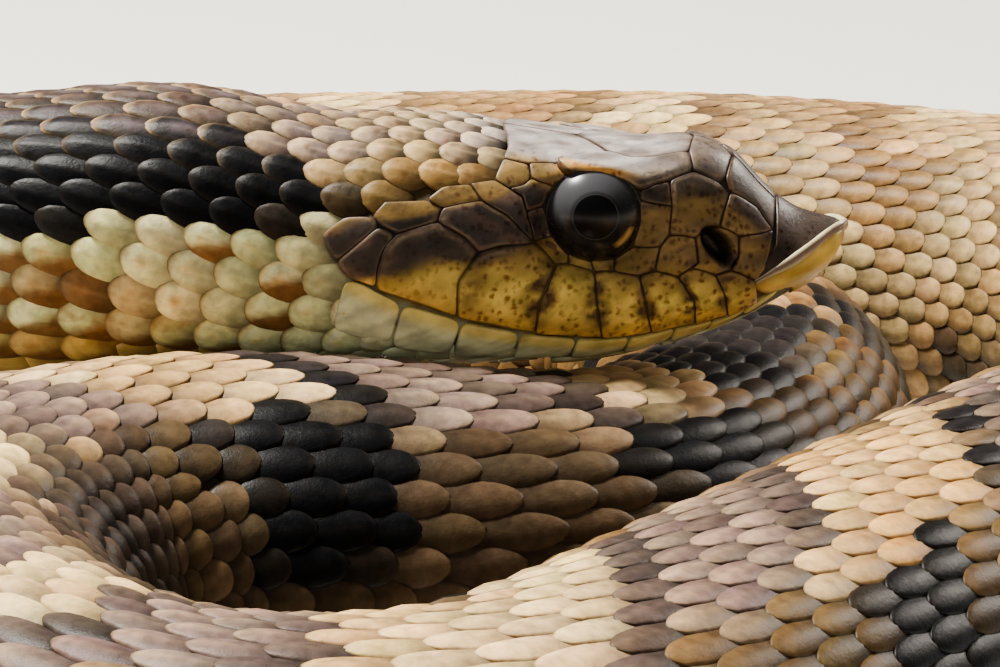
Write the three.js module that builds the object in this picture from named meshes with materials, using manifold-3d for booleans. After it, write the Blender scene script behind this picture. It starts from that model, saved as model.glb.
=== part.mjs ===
// A coiled hognose snake at rest, its head lying on its own coils.
// Millimetres, +Z up, +X the way the head faces, the floor at z = 0.
import * as THREE from 'three';
import { mergeVertices } from 'three/addons/utils/BufferGeometryUtils.js';
import Module from 'manifold-3d';

const wasm = await Module();
wasm.setup();

// ---- driving dimensions -------------------------------------------------
const GAP = 0.3;               // open width between neighbouring pieces
const SOCKET_GAP = 0.25;       // room round each eye
const FLOOR_SINK = 0.6;        // how far the round belly is pressed flat
const WIDTH_RATIO = 1.06;      // body width over body height
const BODY_ROUND = 2.15;       // exponent of the body's superellipse section
const HEAD_LENGTH = 31;        // snout tip to the end of the head piece
const VENT = 618;              // snout tip to vent, along the body
const EYE = { back: 14.8, out: 4.3, up: 30.9, radius: 2.7 };
const NOSTRIL = { back: 7.4, out: 4.9, up: 28.7, radius: 0.95 };
const JAW = { front: 3.0, back: 26.5 };
const PLACE = new THREE.Vector3(16.12, -5.86, 0);   // centres the model over the origin

const BODY_SIDES = 22;
const HEAD_SIDES = 32;
const RING_STEP = 6;
const TIP_LENGTH = 2;          // the rounded end of the tail
const ARC_DIVISIONS = 4000;

// The line through the middle of the body, from the snout back to the tail tip: x, y and
// the height of the belly above the floor.
const BODY_LINE = [
  [20.2, 0, 20.8], [5, 0, 20.8], [-10, 0.7, 21], [-28, 3.2, 20], [-47, 5.5, 18.2], [-64, 10, 13.6],
  [-79, 21, 7.2], [-87, 38, 1.2], [-81, 55, 0], [-63, 66, 0], [-40, 69.5, 0], [-12, 70, 0], [17, 67, 0],
  [41, 53, 0], [52.5, 30, 0], [49, 6, 0], [33, -13.5, 0], [18, -33.6, 0], [11, -43, 0], [4.3, -51.8, 0],
  [-1.3, -56.5, 0], [-8.3, -58.3, 0], [-15.3, -56.8, 0], [-21.5, -52, 0], [-27.6, -43.3, 0],
  [-31, -33.5, 0], [-30, -24.5, 0], [-25.2, -17.4, 0], [-18, -13.5, 0], [-9, -11.8, 0], [-0.2, -10.1, 0],
  [7.8, -4.6, 0], [13.6, 6.6, 0], [16, 21, 0], [12.5, 36, 0], [0, 44.5, 0], [-20, 46.5, 0], [-40, 43.5, 0],
  [-52, 34.5, 0], [-53, 21.5, 0], [-43.5, 12, 0], [-28, 9, 0], [-12, 9.3, 0], [-1.5, 14.5, 0],
  [-1, 24.5, 0], [-10, 30.5, 0], [-24, 31, 0], [-39, 26.4, 0],
];

// Half the body's height, by distance from the snout tip.
const GIRTH = [
  [0, 6], [31, 7.7], [40, 8.5], [50, 8.4], [60, 8.8], [100, 10], [180, 11.4], [280, 12.3], [420, 12.4],
  [462, 12.5], [479, 12.35], [508, 10.7], [535, 10.5], [580, 10], [615, 9], [645, 7.4], [675, 5.6],
  [710, 3.1], [739, 1],
];

// The head's sections, by distance from the snout tip: the crown's and the chin's height,
// half the width, the height of the widest level, and how square each half is.
const HEAD = [
  [0, 29.2, 28.5, 0.7, 28.9, 2, 2],
  [0.5, 29.5, 27.4, 1.7, 28.7, 1.6, 2],
  [1.5, 29.8, 26.1, 2.5, 28.3, 1.45, 2],
  [3, 30.3, 25.1, 3.2, 27.7, 1.5, 2],
  [5, 31.8, 24, 3.9, 27, 1.8, 2.1],
  [7, 33.7, 23.2, 4.6, 26.7, 2.2, 2.2],
  [9, 34.5, 22.6, 5.2, 26.6, 2.6, 2.3],
  [12, 34.3, 21.7, 5.9, 26.7, 2.9, 2.3],
  [15, 34.5, 21.2, 6.5, 26.9, 2.9, 2.3],
  [19, 35, 21, 7.3, 27.1, 2.7, 2.3],
  [23, 35.5, 20.9, 8, 27.4, 2.5, 2.3],
  [27, 35.8, 20.8, 8.4, 27.7, 2.3, 2.2],
];

// The line of the closed mouth, from its front to the corner of the jaw.
const MOUTH = [
  [3, 25.9], [5, 25.2], [7, 24.4], [9, 24.2], [12, 23.9], [15, 23.9], [18, 24.3], [21, 24.8], [24, 25.6],
  [26.5, 26.7],
];

// Where the trunk is parted, from the end of the neck to the vent.
const TRUNK_CUTS = [95, 205, 290, 375, 445, 510, 565, VENT];
const TAIL_CUT = 682;

const COLORS = {
  back: 0x8a7358,
  neck: 0xa8935c,
  head: 0x9a8550,
  jaw: 0xd8cf9c,
  tail: 0x8f7a5e,
  eye: 0x120c08,
};

// ---- curves -------------------------------------------------------------

/** Value of column k of a table at x: a smooth curve through the rows. */
function along(table, x, k = 1) {
  let i = table.findIndex((row) => row[0] > x) - 1;
  if (i < 0) i = x <= table[0][0] ? 0 : table.length - 2;
  const slope = (a, b) => (table[b][k] - table[a][k]) / (table[b][0] - table[a][0]);
  const tangent = (j) => {
    if (j === 0) return slope(0, 1);
    if (j === table.length - 1) return slope(j - 1, j);
    const before = table[j][0] - table[j - 1][0];
    const after = table[j + 1][0] - table[j][0];
    return (slope(j - 1, j) * after + slope(j, j + 1) * before) / (before + after);
  };
  const span = table[i + 1][0] - table[i][0];
  const u = Math.min(Math.max((x - table[i][0]) / span, 0), 1);
  const near = table[i][k] * (1 + 2 * u) * (1 - u) ** 2 + table[i + 1][k] * u * u * (3 - 2 * u);
  return near + tangent(i) * span * u * (1 - u) ** 2 - tangent(i + 1) * span * u * u * (1 - u);
}

const line = new THREE.CatmullRomCurve3(
  BODY_LINE.map(([x, y, z]) => new THREE.Vector3(x, y, z)), false, 'centripetal',
);
line.arcLengthDivisions = ARC_DIVISIONS;
const LENGTH = line.getLength();

/** Half the body's height at s, drawn in to a round end at the tip of the tail. */
function girth(s) {
  const rest = Math.max(LENGTH - s, 0.05) / TIP_LENGTH;
  const tip = rest < 1 ? Math.sqrt(rest * (2 - rest)) : 1;
  return along(GIRTH, s) * tip;
}

/** Centre of the body at s, with the way it runs, its right side and its own up. */
function spine(s) {
  const at = (d) => {
    const clamped = THREE.MathUtils.clamp(d, 0, LENGTH);
    const p = line.getPointAt(clamped / LENGTH);
    p.z += girth(clamped) - FLOOR_SINK;
    return p;
  };
  const center = at(s);
  const ahead = at(s + 1).sub(at(s - 1)).normalize();
  const side = new THREE.Vector3(0, 0, 1).cross(ahead).normalize();
  return { center, side, up: new THREE.Vector3().crossVectors(ahead, side) };
}

/** Signed power, which makes a superellipse from the sine and cosine. */
const spow = (v, e) => Math.sign(v) * Math.abs(v) ** e;

/** The head's and neck's heights and widths at s, in the body's own section. */
function section(s) {
  const half = girth(s);
  const { center } = spine(s);
  const body = [center.z + half, center.z - half, half * WIDTH_RATIO, center.z, BODY_ROUND, BODY_ROUND];
  const last = HEAD[HEAD.length - 1];
  if (s >= HEAD_LENGTH) return body;
  if (s <= last[0]) return body.map((_, k) => along(HEAD, s, k + 1));
  const u = (s - last[0]) / (HEAD_LENGTH - last[0]);
  const ease = u * u * (3 - 2 * u);
  return body.map((v, k) => last[k + 1] + (v - last[k + 1]) * ease);
}

/** Point of the body's surface at s and angle, or inside it when reach is below 1. */
function surface(s, angle, reach) {
  const { center, side, up } = spine(s);
  const [top, bottom, wide, level, upper, lower] = section(s);
  const power = 2 / (Math.sin(angle) > 0 ? upper : lower);
  const high = Math.sin(angle) > 0 ? top - level : level - bottom;
  const out = wide * spow(Math.cos(angle), power) * reach;
  const rise = level - center.z + high * spow(Math.sin(angle), power) * reach;
  const p = center.addScaledVector(side, out).addScaledVector(up, rise);
  p.z = Math.max(p.z, 0);
  return p;
}

// ---- solids -------------------------------------------------------------

/** A closed length of the body through the given stations. */
function bodyLength(stations, sides) {
  const geometry = new THREE.CylinderGeometry(1, 1, 1, sides, stations.length - 1);
  const place = geometry.attributes.position;
  for (let i = 0; i < place.count; i += 1) {
    const row = Math.round((0.5 - place.getY(i)) * (stations.length - 1));
    const angle = Math.atan2(place.getZ(i), place.getX(i));
    const reach = Math.min(Math.hypot(place.getX(i), place.getZ(i)), 1);
    const p = surface(stations[row], angle, reach);
    place.setXYZ(i, p.x, p.y, p.z);
  }
  return welded(geometry);
}

/** Even stations from one cut to the next, each end drawn back by half a gap. */
function stationsBetween(from, to) {
  const start = from + GAP / 2;
  const end = to - GAP / 2;
  const count = Math.max(2, Math.round((end - start) / RING_STEP));
  return Array.from({ length: count + 1 }, (_, i) => start + ((end - start) * i) / count);
}

/** The geometry with only positions, its shared vertices merged. */
function welded(geometry) {
  geometry.deleteAttribute('normal');
  geometry.deleteAttribute('uv');
  return mergeVertices(geometry, 1e-5);
}

function toSolid(geometry) {
  const mesh = welded(geometry);
  return new wasm.Manifold(new wasm.Mesh({
    numProp: 3,
    vertProperties: new Float32Array(mesh.attributes.position.array),
    triVerts: new Uint32Array(mesh.index.array),
  }));
}

function toGeometry(solid) {
  const mesh = solid.getMesh();
  const geometry = new THREE.BufferGeometry();
  geometry.setAttribute('position', new THREE.BufferAttribute(mesh.vertProperties, 3));
  geometry.setIndex(new THREE.BufferAttribute(mesh.triVerts, 1));
  return geometry;
}

const SNOUT = BODY_LINE[0][0];
const atHead = (back, out, up) => new THREE.Vector3(SNOUT - back, out, up);

function ball({ back, up, radius }, out, grow, wide, high) {
  const geometry = new THREE.SphereGeometry(radius + grow, wide, high);
  const p = atHead(back, out, up);
  return geometry.translate(p.x, p.y, p.z);
}

/** What lies below the mouth's line, moved down by drop, as a block across the head. */
function belowMouth(drop) {
  const shape = new THREE.Shape();
  const deep = 20;
  shape.moveTo(SNOUT - JAW.front - drop, deep);
  for (const [back, up] of MOUTH) shape.lineTo(SNOUT - back - (back === JAW.front ? drop : 0), up - drop);
  shape.lineTo(SNOUT - JAW.back + drop, deep);
  const across = 24;
  const geometry = new THREE.ExtrudeGeometry(shape, { depth: across, bevelEnabled: false });
  return toSolid(geometry.rotateX(Math.PI / 2).translate(0, across / 2, 0));
}

const HEAD_STATIONS = [
  0, 0.25, 0.6, 1.1, 1.8, 2.6, 3.5, 4.5, 5.5, 6.5, 7.5, 8.5, 10, 11.5, 13, 14.5, 16, 18, 20, 22,
  24, 26, 28, HEAD_LENGTH - GAP / 2,
];

function headSolids() {
  let whole = toSolid(bodyLength(HEAD_STATIONS, HEAD_SIDES));
  for (const sign of [-1, 1]) {
    whole = whole.subtract(toSolid(ball(EYE, sign * EYE.out, SOCKET_GAP, 18, 12)));
    whole = whole.subtract(toSolid(ball(NOSTRIL, sign * NOSTRIL.out, 0, 10, 8)));
  }
  return {
    head: whole.subtract(belowMouth(-GAP / 2)),
    jaw: whole.intersect(belowMouth(GAP / 2)),
  };
}

// ---- the model ----------------------------------------------------------
const snake = new THREE.Group();
snake.position.copy(PLACE);

function addPiece(name, geometry, color, roughness = 0.6) {
  const material = new THREE.MeshStandardMaterial({ color, roughness, metalness: 0 });
  const mesh = new THREE.Mesh(geometry, material);
  mesh.name = name;
  snake.add(mesh);
}

const { head, jaw } = headSolids();
addPiece('head', toGeometry(head), COLORS.head);
addPiece('lower_jaw', toGeometry(jaw), COLORS.jaw);
addPiece('eye_right', welded(ball(EYE, -EYE.out, 0, 18, 12)), COLORS.eye, 0.1);
addPiece('eye_left', welded(ball(EYE, EYE.out, 0, 18, 12)), COLORS.eye, 0.1);
addPiece('neck', bodyLength(stationsBetween(HEAD_LENGTH, TRUNK_CUTS[0]), BODY_SIDES), COLORS.neck);
for (let i = 1; i < TRUNK_CUTS.length; i += 1) {
  const stations = stationsBetween(TRUNK_CUTS[i - 1], TRUNK_CUTS[i]);
  addPiece(`trunk_${i}`, bodyLength(stations, BODY_SIDES), COLORS.back);
}
addPiece('tail_base', bodyLength(stationsBetween(VENT, TAIL_CUT), BODY_SIDES), COLORS.tail);
const tipStations = stationsBetween(TAIL_CUT, LENGTH - TIP_LENGTH);
const tipEnd = [0, 0.5, 0.85, 1].map((u) => LENGTH - TIP_LENGTH * (1 - u));
addPiece('tail_tip', bodyLength(tipStations.slice(0, -1).concat(tipEnd), BODY_SIDES), COLORS.tail);

export default snake;
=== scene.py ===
"""A life-size coiled hognose snake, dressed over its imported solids.

One skin runs from the snout to the tip of the tail, a little inside the solids. Over it lie
the head plates, the keeled scales of the back and sides, and the broad scutes of the belly.
Sizes are in millimetres until a mesh is made, and every place comes from one body surface:
s is the distance from the snout tip along the body, v runs once round it from the middle of
the belly over the right side, the back (0.5) and the left side.
"""

import logging
import math
from dataclasses import dataclass, field
from enum import Enum

import bmesh
import bpy
import numpy as np
from mathutils import Matrix, Vector


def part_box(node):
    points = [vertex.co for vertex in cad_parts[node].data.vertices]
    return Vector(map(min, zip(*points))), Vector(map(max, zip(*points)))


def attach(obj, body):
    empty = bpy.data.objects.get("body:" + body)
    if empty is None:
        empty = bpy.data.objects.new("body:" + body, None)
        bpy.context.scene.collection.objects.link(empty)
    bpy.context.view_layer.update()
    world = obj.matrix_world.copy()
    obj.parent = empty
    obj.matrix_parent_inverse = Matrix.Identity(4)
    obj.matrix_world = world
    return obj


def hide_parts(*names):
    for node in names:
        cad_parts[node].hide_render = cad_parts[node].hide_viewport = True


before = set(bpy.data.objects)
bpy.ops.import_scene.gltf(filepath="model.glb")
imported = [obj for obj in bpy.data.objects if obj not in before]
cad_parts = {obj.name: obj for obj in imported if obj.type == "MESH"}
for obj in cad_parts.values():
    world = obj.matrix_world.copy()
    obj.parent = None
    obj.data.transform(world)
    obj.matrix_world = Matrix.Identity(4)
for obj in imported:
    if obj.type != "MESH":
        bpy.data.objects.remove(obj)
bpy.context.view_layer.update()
LOG = logging.getLogger("snake")
MM = 0.001
# half the side of one scale's patch on the bake map
PATCH = 0.0015
COLOR, VALUE = "NodeSocketColor", "NodeSocketFloat"
Array = np.ndarray
# where a look sets in, from and to, and where it dies out, from and to
Stretch = tuple[float, float, float, float]
Paint = tuple[float, float, float, float]
Table = list[tuple[float, ...]]
Mesh, Piece, Material = bpy.types.Mesh, bpy.types.Object, bpy.types.Material
Node, NodeTree, Socket = bpy.types.Node, bpy.types.NodeTree, bpy.types.NodeSocket
Feed = float | tuple[float, ...] | Socket
Random = np.random.Generator
# values by name, one for each scale or point
Part = dict[str, Array]
Sockets = bpy.types.bpy_prop_collection


class Side(Enum):
    """The two sides of the head; the value is the sign of y on that side."""

    RIGHT = -1
    LEFT = 1


# ---- small helpers ----


def smooth(low: float, high: float, x: Array) -> Array:
    """Return 0 below low, 1 above high and an even ease between."""
    t = np.clip((np.asarray(x, float) - low) / (high - low), 0, 1)
    return t * t * (3 - 2 * t)


def mix(a: Array, b: Array, share: Array) -> Array:
    """Mix two colours.

    Args:
        a: The first colour, or one for each point.
        b: The second.
        share: How much of the second, which may differ from point to point.

    Returns:
        The mixed colours.
    """
    share = np.asarray(share, float)
    if share.ndim and np.ndim(a) + np.ndim(b) > 0:
        share = share[..., None]
    return np.asarray(a, float) * (1 - share) + np.asarray(b, float) * share


def linear(color: Array) -> Array:
    """Return display colours (0 to 1) as linear light."""
    color = np.clip(color, 0, 1)
    return np.where(color <= 0.04045, color / 12.92, ((color + 0.055) / 1.055) ** 2.4)


def within(x: Array, stretch: Stretch) -> Array:
    """Return 1 inside a stretch of x and 0 outside it, with an ease at both ends."""
    return smooth(*stretch[:2], x) * (1 - smooth(*stretch[2:], x))


def hue(red: int, green: int, blue: int) -> Array:
    """Return a field that holds a display colour, told in parts from 0 to 255."""
    return field(default_factory=lambda: np.array([red, green, blue], float) / 255)


def listed(*found: tuple[float, ...]) -> Table:
    """Return a field that holds a table of these rows."""
    return field(default_factory=lambda: list(found))


def unit(vectors: Array) -> Array:
    """Return the vectors at length one."""
    return vectors / np.maximum(np.linalg.norm(vectors, axis=-1, keepdims=True), 1e-9)


def along(table: Table, x: Array, k: int = 1) -> Array:
    """Read a smooth curve through the rows of a table.

    Args:
        table: Rows that start with their place.
        x: Places to read.
        k: Column to read.

    Returns:
        The curve's values at x.
    """
    rows = np.array(table, float)
    place, value = rows[:, 0], rows[:, k]
    span = np.diff(place)
    slope = np.diff(value) / span
    turn = np.empty(len(place))
    turn[0], turn[-1] = slope[0], slope[-1]
    turn[1:-1] = (slope[:-1] * span[1:] + slope[1:] * span[:-1]) / (span[:-1] + span[1:])
    x = np.asarray(x, float)
    i = np.clip(np.searchsorted(place, x, side="right") - 1, 0, len(span) - 1)
    u = np.clip((x - place[i]) / span[i], 0, 1)
    ends = value[i] * (1 + 2 * u) * (1 - u) ** 2 + value[i + 1] * u * u * (3 - 2 * u)
    return ends + span[i] * u * (1 - u) * (turn[i] * (1 - u) - turn[i + 1] * u)


def ripple(s: Array, v: Array, size: float, seed: int) -> Array:
    """Return an uneven pattern about -1 to 1 that follows the body.

    Args:
        s: Distance along the body, mm.
        v: Place round the body, 0 to 1.
        size: Rough size of a patch, mm.
        seed: Which of many such patterns.

    Returns:
        One value for each point.
    """
    rng = np.random.default_rng(seed)
    total = np.zeros(np.broadcast(s, v).shape)
    for _ in range(7):
        a, b = rng.uniform(0.5, 1.7, 2)
        start, lean = rng.uniform(0, 2 * math.pi, 2)
        across = np.round(a * 40 / size) * 2 * math.pi * v
        total += np.sin(s * b * 2 * math.pi / (size * 2.4) * np.sign(np.sin(lean)) + across + start)
    return total / 3.2


# ---- the body's surface ----


@dataclass
class BodyShape:
    """The body's middle line, girth and head sections, and the surface that they make."""

    head_length: float = 31.0
    sink: float = 0.6
    width_ratio: float = 1.06
    roundness: float = 2.15
    tip_length: float = 2.0
    step: float = 0.25
    eye_back: float = 14.8
    eye_out: float = 4.3
    eye_up: float = 30.9
    eye_radius: float = 2.7
    # steps round half a section: even in angle, and even in distance
    angles: int = 120
    rounds: int = 180
    # the middle line over the floor: back, across, up
    line: Table = listed(
        (20.2, 0, 20.8), (5, 0, 20.8), (-10, 0.7, 21), (-28, 3.2, 20), (-47, 5.5, 18.2),
        (-64, 10, 13.6), (-79, 21, 7.2), (-87, 38, 1.2), (-81, 55, 0), (-63, 66, 0),
        (-40, 69.5, 0), (-12, 70, 0), (17, 67, 0), (41, 53, 0), (52.5, 30, 0), (49, 6, 0),
        (33, -13.5, 0), (18, -33.6, 0), (11, -43, 0), (4.3, -51.8, 0), (-1.3, -56.5, 0),
        (-8.3, -58.3, 0), (-15.3, -56.8, 0), (-21.5, -52, 0), (-27.6, -43.3, 0), (-31, -33.5, 0),
        (-30, -24.5, 0), (-25.2, -17.4, 0), (-18, -13.5, 0), (-9, -11.8, 0), (-0.2, -10.1, 0),
        (7.8, -4.6, 0), (13.6, 6.6, 0), (16, 21, 0), (12.5, 36, 0), (0, 44.5, 0), (-20, 46.5, 0),
        (-40, 43.5, 0), (-52, 34.5, 0), (-53, 21.5, 0), (-43.5, 12, 0), (-28, 9, 0), (-12, 9.3, 0),
        (-1.5, 14.5, 0), (-1, 24.5, 0), (-10, 30.5, 0), (-24, 31, 0), (-39, 26.4, 0),
    )
    # distance from the snout tip: half the body's height
    girths: Table = listed(
        (0, 6), (31, 7.7), (40, 8.5), (50, 8.4), (60, 8.8), (100, 10), (180, 11.4), (280, 12.3),
        (420, 12.4), (462, 12.5), (479, 12.35), (508, 10.7), (535, 10.5), (580, 10), (615, 9),
        (645, 7.4), (675, 5.6), (710, 3.1), (739, 1),
    )
    # distance from the snout tip: crown, chin, half width, widest level, squareness above, below
    sections: Table = listed(
        (0, 29.2, 28.5, 0.7, 28.9, 2, 2),
        (0.5, 29.5, 27.4, 1.7, 28.7, 1.6, 2),
        (1.5, 29.8, 26.1, 2.5, 28.3, 1.45, 2),
        (3, 30.3, 25.1, 3.2, 27.7, 1.5, 2),
        (5, 31.8, 24, 3.9, 27, 1.8, 2.1),
        (7, 33.7, 23.2, 4.6, 26.7, 2.2, 2.2),
        (9, 34.5, 22.6, 5.2, 26.6, 2.6, 2.3),
        (12, 34.3, 21.7, 5.9, 26.7, 2.9, 2.3),
        (15, 34.5, 21.2, 6.5, 26.9, 2.9, 2.3),
        (19, 35, 21, 7.3, 27.1, 2.7, 2.3),
        (23, 35.5, 20.9, 8, 27.4, 2.5, 2.3),
        (27, 35.8, 20.8, 8.4, 27.7, 2.3, 2.2),
    )

    def __post_init__(self) -> None:
        """Work out the stations, frames and round-the-body tables."""
        path = self._spline(np.array(self.line, float), 80)
        run = np.concatenate([[0], np.cumsum(np.linalg.norm(np.diff(path, axis=0), axis=1))])
        self.length = float(run[-1])
        self.s = np.arange(0, self.length, self.step)
        self.center = self._middle(path, run, self.s)
        ahead = unit(self._middle(path, run, self.s + 1) - self._middle(path, run, self.s - 1))
        self.side = unit(np.cross([0, 0, 1.0], ahead))
        self.up = np.cross(ahead, self.side)
        self.section = self._section_table()
        self._round_table()
        low, high = (np.array(corner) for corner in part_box("eye_right"))
        eye = np.array([self.line[0][0] - self.eye_back, -self.eye_out, self.eye_up])
        self.shift = (low + high) / 2 / MM - eye

    def _middle(self, path: Array, run: Array, s: Array) -> Array:
        """Find the body's centre, lifted by its own half height.

        Args:
            path: Points of the middle line over the floor.
            run: Their distances along it.
            s: Distances to look up.

        Returns:
            The centres.
        """
        s = np.clip(s, 0, self.length)
        point = np.stack([np.interp(s, run, path[:, k]) for k in range(3)], -1)
        point[:, 2] += self.girth(s) - self.sink
        return point

    @staticmethod
    def _spline(points: Array, count: int) -> Array:
        """Run a centripetal spline through points.

        Args:
            points: The points.
            count: Steps for each stretch between two of them.

        Returns:
            The spline's points.
        """
        points = np.vstack([2 * points[0] - points[1], points, 2 * points[-1] - points[-2]])
        p0, p1, p2, p3 = points[:-3, None], points[1:-2, None], points[2:-1, None], points[3:, None]

        def knot(a: Array, b: Array) -> Array:
            """Return the spline's step between two points."""
            return np.linalg.norm(b - a, axis=-1, keepdims=True) ** 0.5

        t1 = knot(p0, p1)
        t2 = t1 + knot(p1, p2)
        t3 = t2 + knot(p2, p3)
        t = t1 + (t2 - t1) * np.linspace(0, 1, count, endpoint=False)[None, :, None]
        a1 = (t1 - t) / t1 * p0 + t / t1 * p1
        a2 = (t2 - t) / (t2 - t1) * p1 + (t - t1) / (t2 - t1) * p2
        a3 = (t3 - t) / (t3 - t2) * p2 + (t - t2) / (t3 - t2) * p3
        b1 = (t2 - t) / t2 * a1 + t / t2 * a2
        b2 = (t3 - t) / (t3 - t1) * a2 + (t - t1) / (t3 - t1) * a3
        curve = (t2 - t) / (t2 - t1) * b1 + (t - t1) / (t2 - t1) * b2
        return np.vstack([curve.reshape(-1, 3), points[-2][None]])

    def girth(self, s: Array) -> Array:
        """Return half the body's height at s."""
        rest = np.clip((self.length - s) / self.tip_length, 0.025, 1)
        return along(self.girths, s) * np.sqrt(rest * (2 - rest))

    def _section_table(self) -> Array:
        """Tabulate the sections.

        Returns:
            Crown, chin, half width, widest level and the squareness above and below it, by station.
        """
        half, level = self.girth(self.s), self.center[:, 2]
        same = half * 0 + self.roundness
        body = np.stack([level + half, level - half, half * self.width_ratio, level, same, same], -1)
        last = self.sections[-1][0]
        near = np.minimum(self.s, last)
        head = np.stack([along(self.sections, near, k) for k in range(1, 7)], -1)
        return mix(head, body, smooth(last, self.head_length, self.s))

    def _round_table(self) -> None:
        """Tabulate the angle for each even step round the body, and the half girth."""
        angle = np.linspace(-math.pi / 2, math.pi / 2, self.angles + 1)
        ring = self.at_angle(np.repeat(self.s[:, None], len(angle), 1), np.tile(angle, (len(self.s), 1)))
        run = np.cumsum(np.linalg.norm(np.diff(ring, axis=1), axis=-1), 1)
        run = np.concatenate([np.zeros((len(self.s), 1)), run], 1)
        self.half_girth = run[:, -1]
        even = np.linspace(0, 1, self.rounds + 1)
        self.angle = np.array([np.interp(even, row / row[-1], angle) for row in run])

    def _between(self, s: Array) -> tuple[Array, Array]:
        """Find the stations on either side of a place.

        Args:
            s: Distance along the body.

        Returns:
            The station before, and the share of the way to the next.
        """
        place = np.clip(s / self.step, 0, len(self.s) - 1.001)
        before = place.astype(int)
        return before, place - before

    def at_angle(self, s: Array, angle: Array) -> Array:
        """Find points of the surface by angle.

        Args:
            s: Distance along the body.
            angle: Angle round the section, 0 at its widest level.

        Returns:
            The points, in millimetres.
        """
        i, f = self._between(s)
        f = f[..., None]
        center, side, up, section = (
            table[i] * (1 - f) + table[i + 1] * f
            for table in (self.center, self.side, self.up, self.section)
        )
        high, wide = np.sin(angle), np.cos(angle)
        above = high > 0
        power = 2 / np.where(above, section[..., 4], section[..., 5])
        reach = np.where(above, section[..., 0] - section[..., 3], section[..., 3] - section[..., 1])
        out = section[..., 2] * np.sign(wide) * np.abs(wide) ** power
        rise = section[..., 3] - center[..., 2] + reach * np.sign(high) * np.abs(high) ** power
        return center + side * out[..., None] + up * rise[..., None]

    def at(self, s: Array, v: Array) -> Array:
        """Find points of the surface.

        Args:
            s: Distance along the body.
            v: Place round it.

        Returns:
            The points, in millimetres.
        """
        v = np.mod(v, 1.0)
        half = np.where(v > 0.5, 1 - v, v)
        i, f = self._between(s)
        place = np.clip(half * 2 * self.rounds, 0, self.rounds - 0.001)
        k = place.astype(int)
        g = place - k
        near = self.angle[i, k] * (1 - g) + self.angle[i, k + 1] * g
        far = self.angle[i + 1, k] * (1 - g) + self.angle[i + 1, k + 1] * g
        angle = near * (1 - f) + far * f
        return self.at_angle(s, np.where(v > 0.5, math.pi - angle, angle))

    def half(self, s: Array) -> Array:
        """Return the distance from the middle of the back to the middle of the belly."""
        return np.interp(s, self.s, self.half_girth)

    def around(self, s: Array, q: Array) -> Array:
        """Return v for a distance q down the right side from the middle of the back."""
        return 0.5 - np.asarray(q) / (2 * self.half(s))

    def down(self, s: Array, v: Array) -> Array:
        """Return the distance from the middle of the back, the same on both sides."""
        return np.abs(0.5 - np.mod(v, 1.0)) * 2 * self.half(s)

    def lay(self, s: Array, v: Array, height: Array, floor: float = 0.0) -> Array:
        """Return points at a height over the surface, shaped at the eyes, none under the floor.

        Args:
            s: Distance along the body.
            v: Place round the body.
            height: Height over the solids' surface, negative inside.
            floor: Lowest height that a point may have.

        Returns:
            Points in millimetres, in the frame of the middle line.
        """
        reach = 0.15
        s = np.clip(s, 0.03, self.length - 0.03)
        point = self.at(s, v)
        back = self.at(np.minimum(s + reach, self.length), v) - self.at(np.maximum(s - reach, 0), v)
        step = reach / (2 * self.half(s))
        round_ = self.at(s, v + step) - self.at(s, v - step)
        normal = unit(np.cross(round_, back))
        point = self.orbit(point + normal * np.asarray(height)[..., None], height)
        point[..., 2] = np.maximum(point[..., 2], floor)
        return point

    def orbit(self, point: Array, height: Array) -> Array:
        """Press the cheek in below each eye and draw the brow out over it.

        Args:
            point: Points near the surface.
            height: Their heights over it.

        Returns:
            The moved points.
        """
        x = point[..., 0] - (self.line[0][0] - self.eye_back)
        z = point[..., 2] - self.eye_up
        away = np.hypot(x, z)
        out = np.abs(point[..., 1])
        rim = 5.35 + 0.5 * np.asarray(height)
        share = (1 - smooth(2.75, 4.3, away)) * smooth(3.0, 4.3, out)
        moved = out * (1 - share) + rim * share
        hole = 1 - smooth(2.35, 2.6, away)
        moved = moved * (1 - hole * (out > 2.5)) + 2.6 * hole * (out > 2.5)
        result = point.copy()
        result[..., 1] = np.where(away < 4.3, np.sign(point[..., 1]) * moved, point[..., 1])
        return result

    def place(self, point: Array) -> Array:
        """Return points of the middle line's frame in metres, in the object's frame."""
        return (point + self.shift) * MM


# ---- markings ----


@dataclass(frozen=True)
class Palette:
    """The animal's colours, as display colours."""

    black: Array = hue(5, 6, 9)
    dark: Array = hue(38, 29, 25)
    saddle: Array = hue(106, 86, 79)
    nape: Array = hue(56, 42, 33)
    tan: Array = hue(178, 136, 84)
    sand: Array = hue(214, 180, 124)
    # olive: the flank's own mid-brown darkened as painted shade; it also mottles the neck
    olive: Array = hue(70, 52, 26)
    cream: Array = hue(240, 240, 170)
    belly: Array = hue(200, 160, 72)
    umber: Array = hue(112, 72, 32)
    lip: Array = hue(244, 208, 90)
    amber: Array = hue(226, 164, 56)
    ochre: Array = hue(126, 98, 50)
    crown: Array = hue(158, 148, 144)
    snout: Array = hue(70, 53, 40)
    chin: Array = hue(242, 243, 184)
    stripe: Array = hue(54, 46, 42)
    edge: Array = hue(190, 158, 112)
    bruise: Array = hue(104, 74, 62)
    spot: Array = hue(186, 112, 34)
    honey: Array = hue(188, 132, 62)
    lilac: Array = hue(92, 80, 82)
    suture: Array = hue(60, 40, 28)


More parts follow.
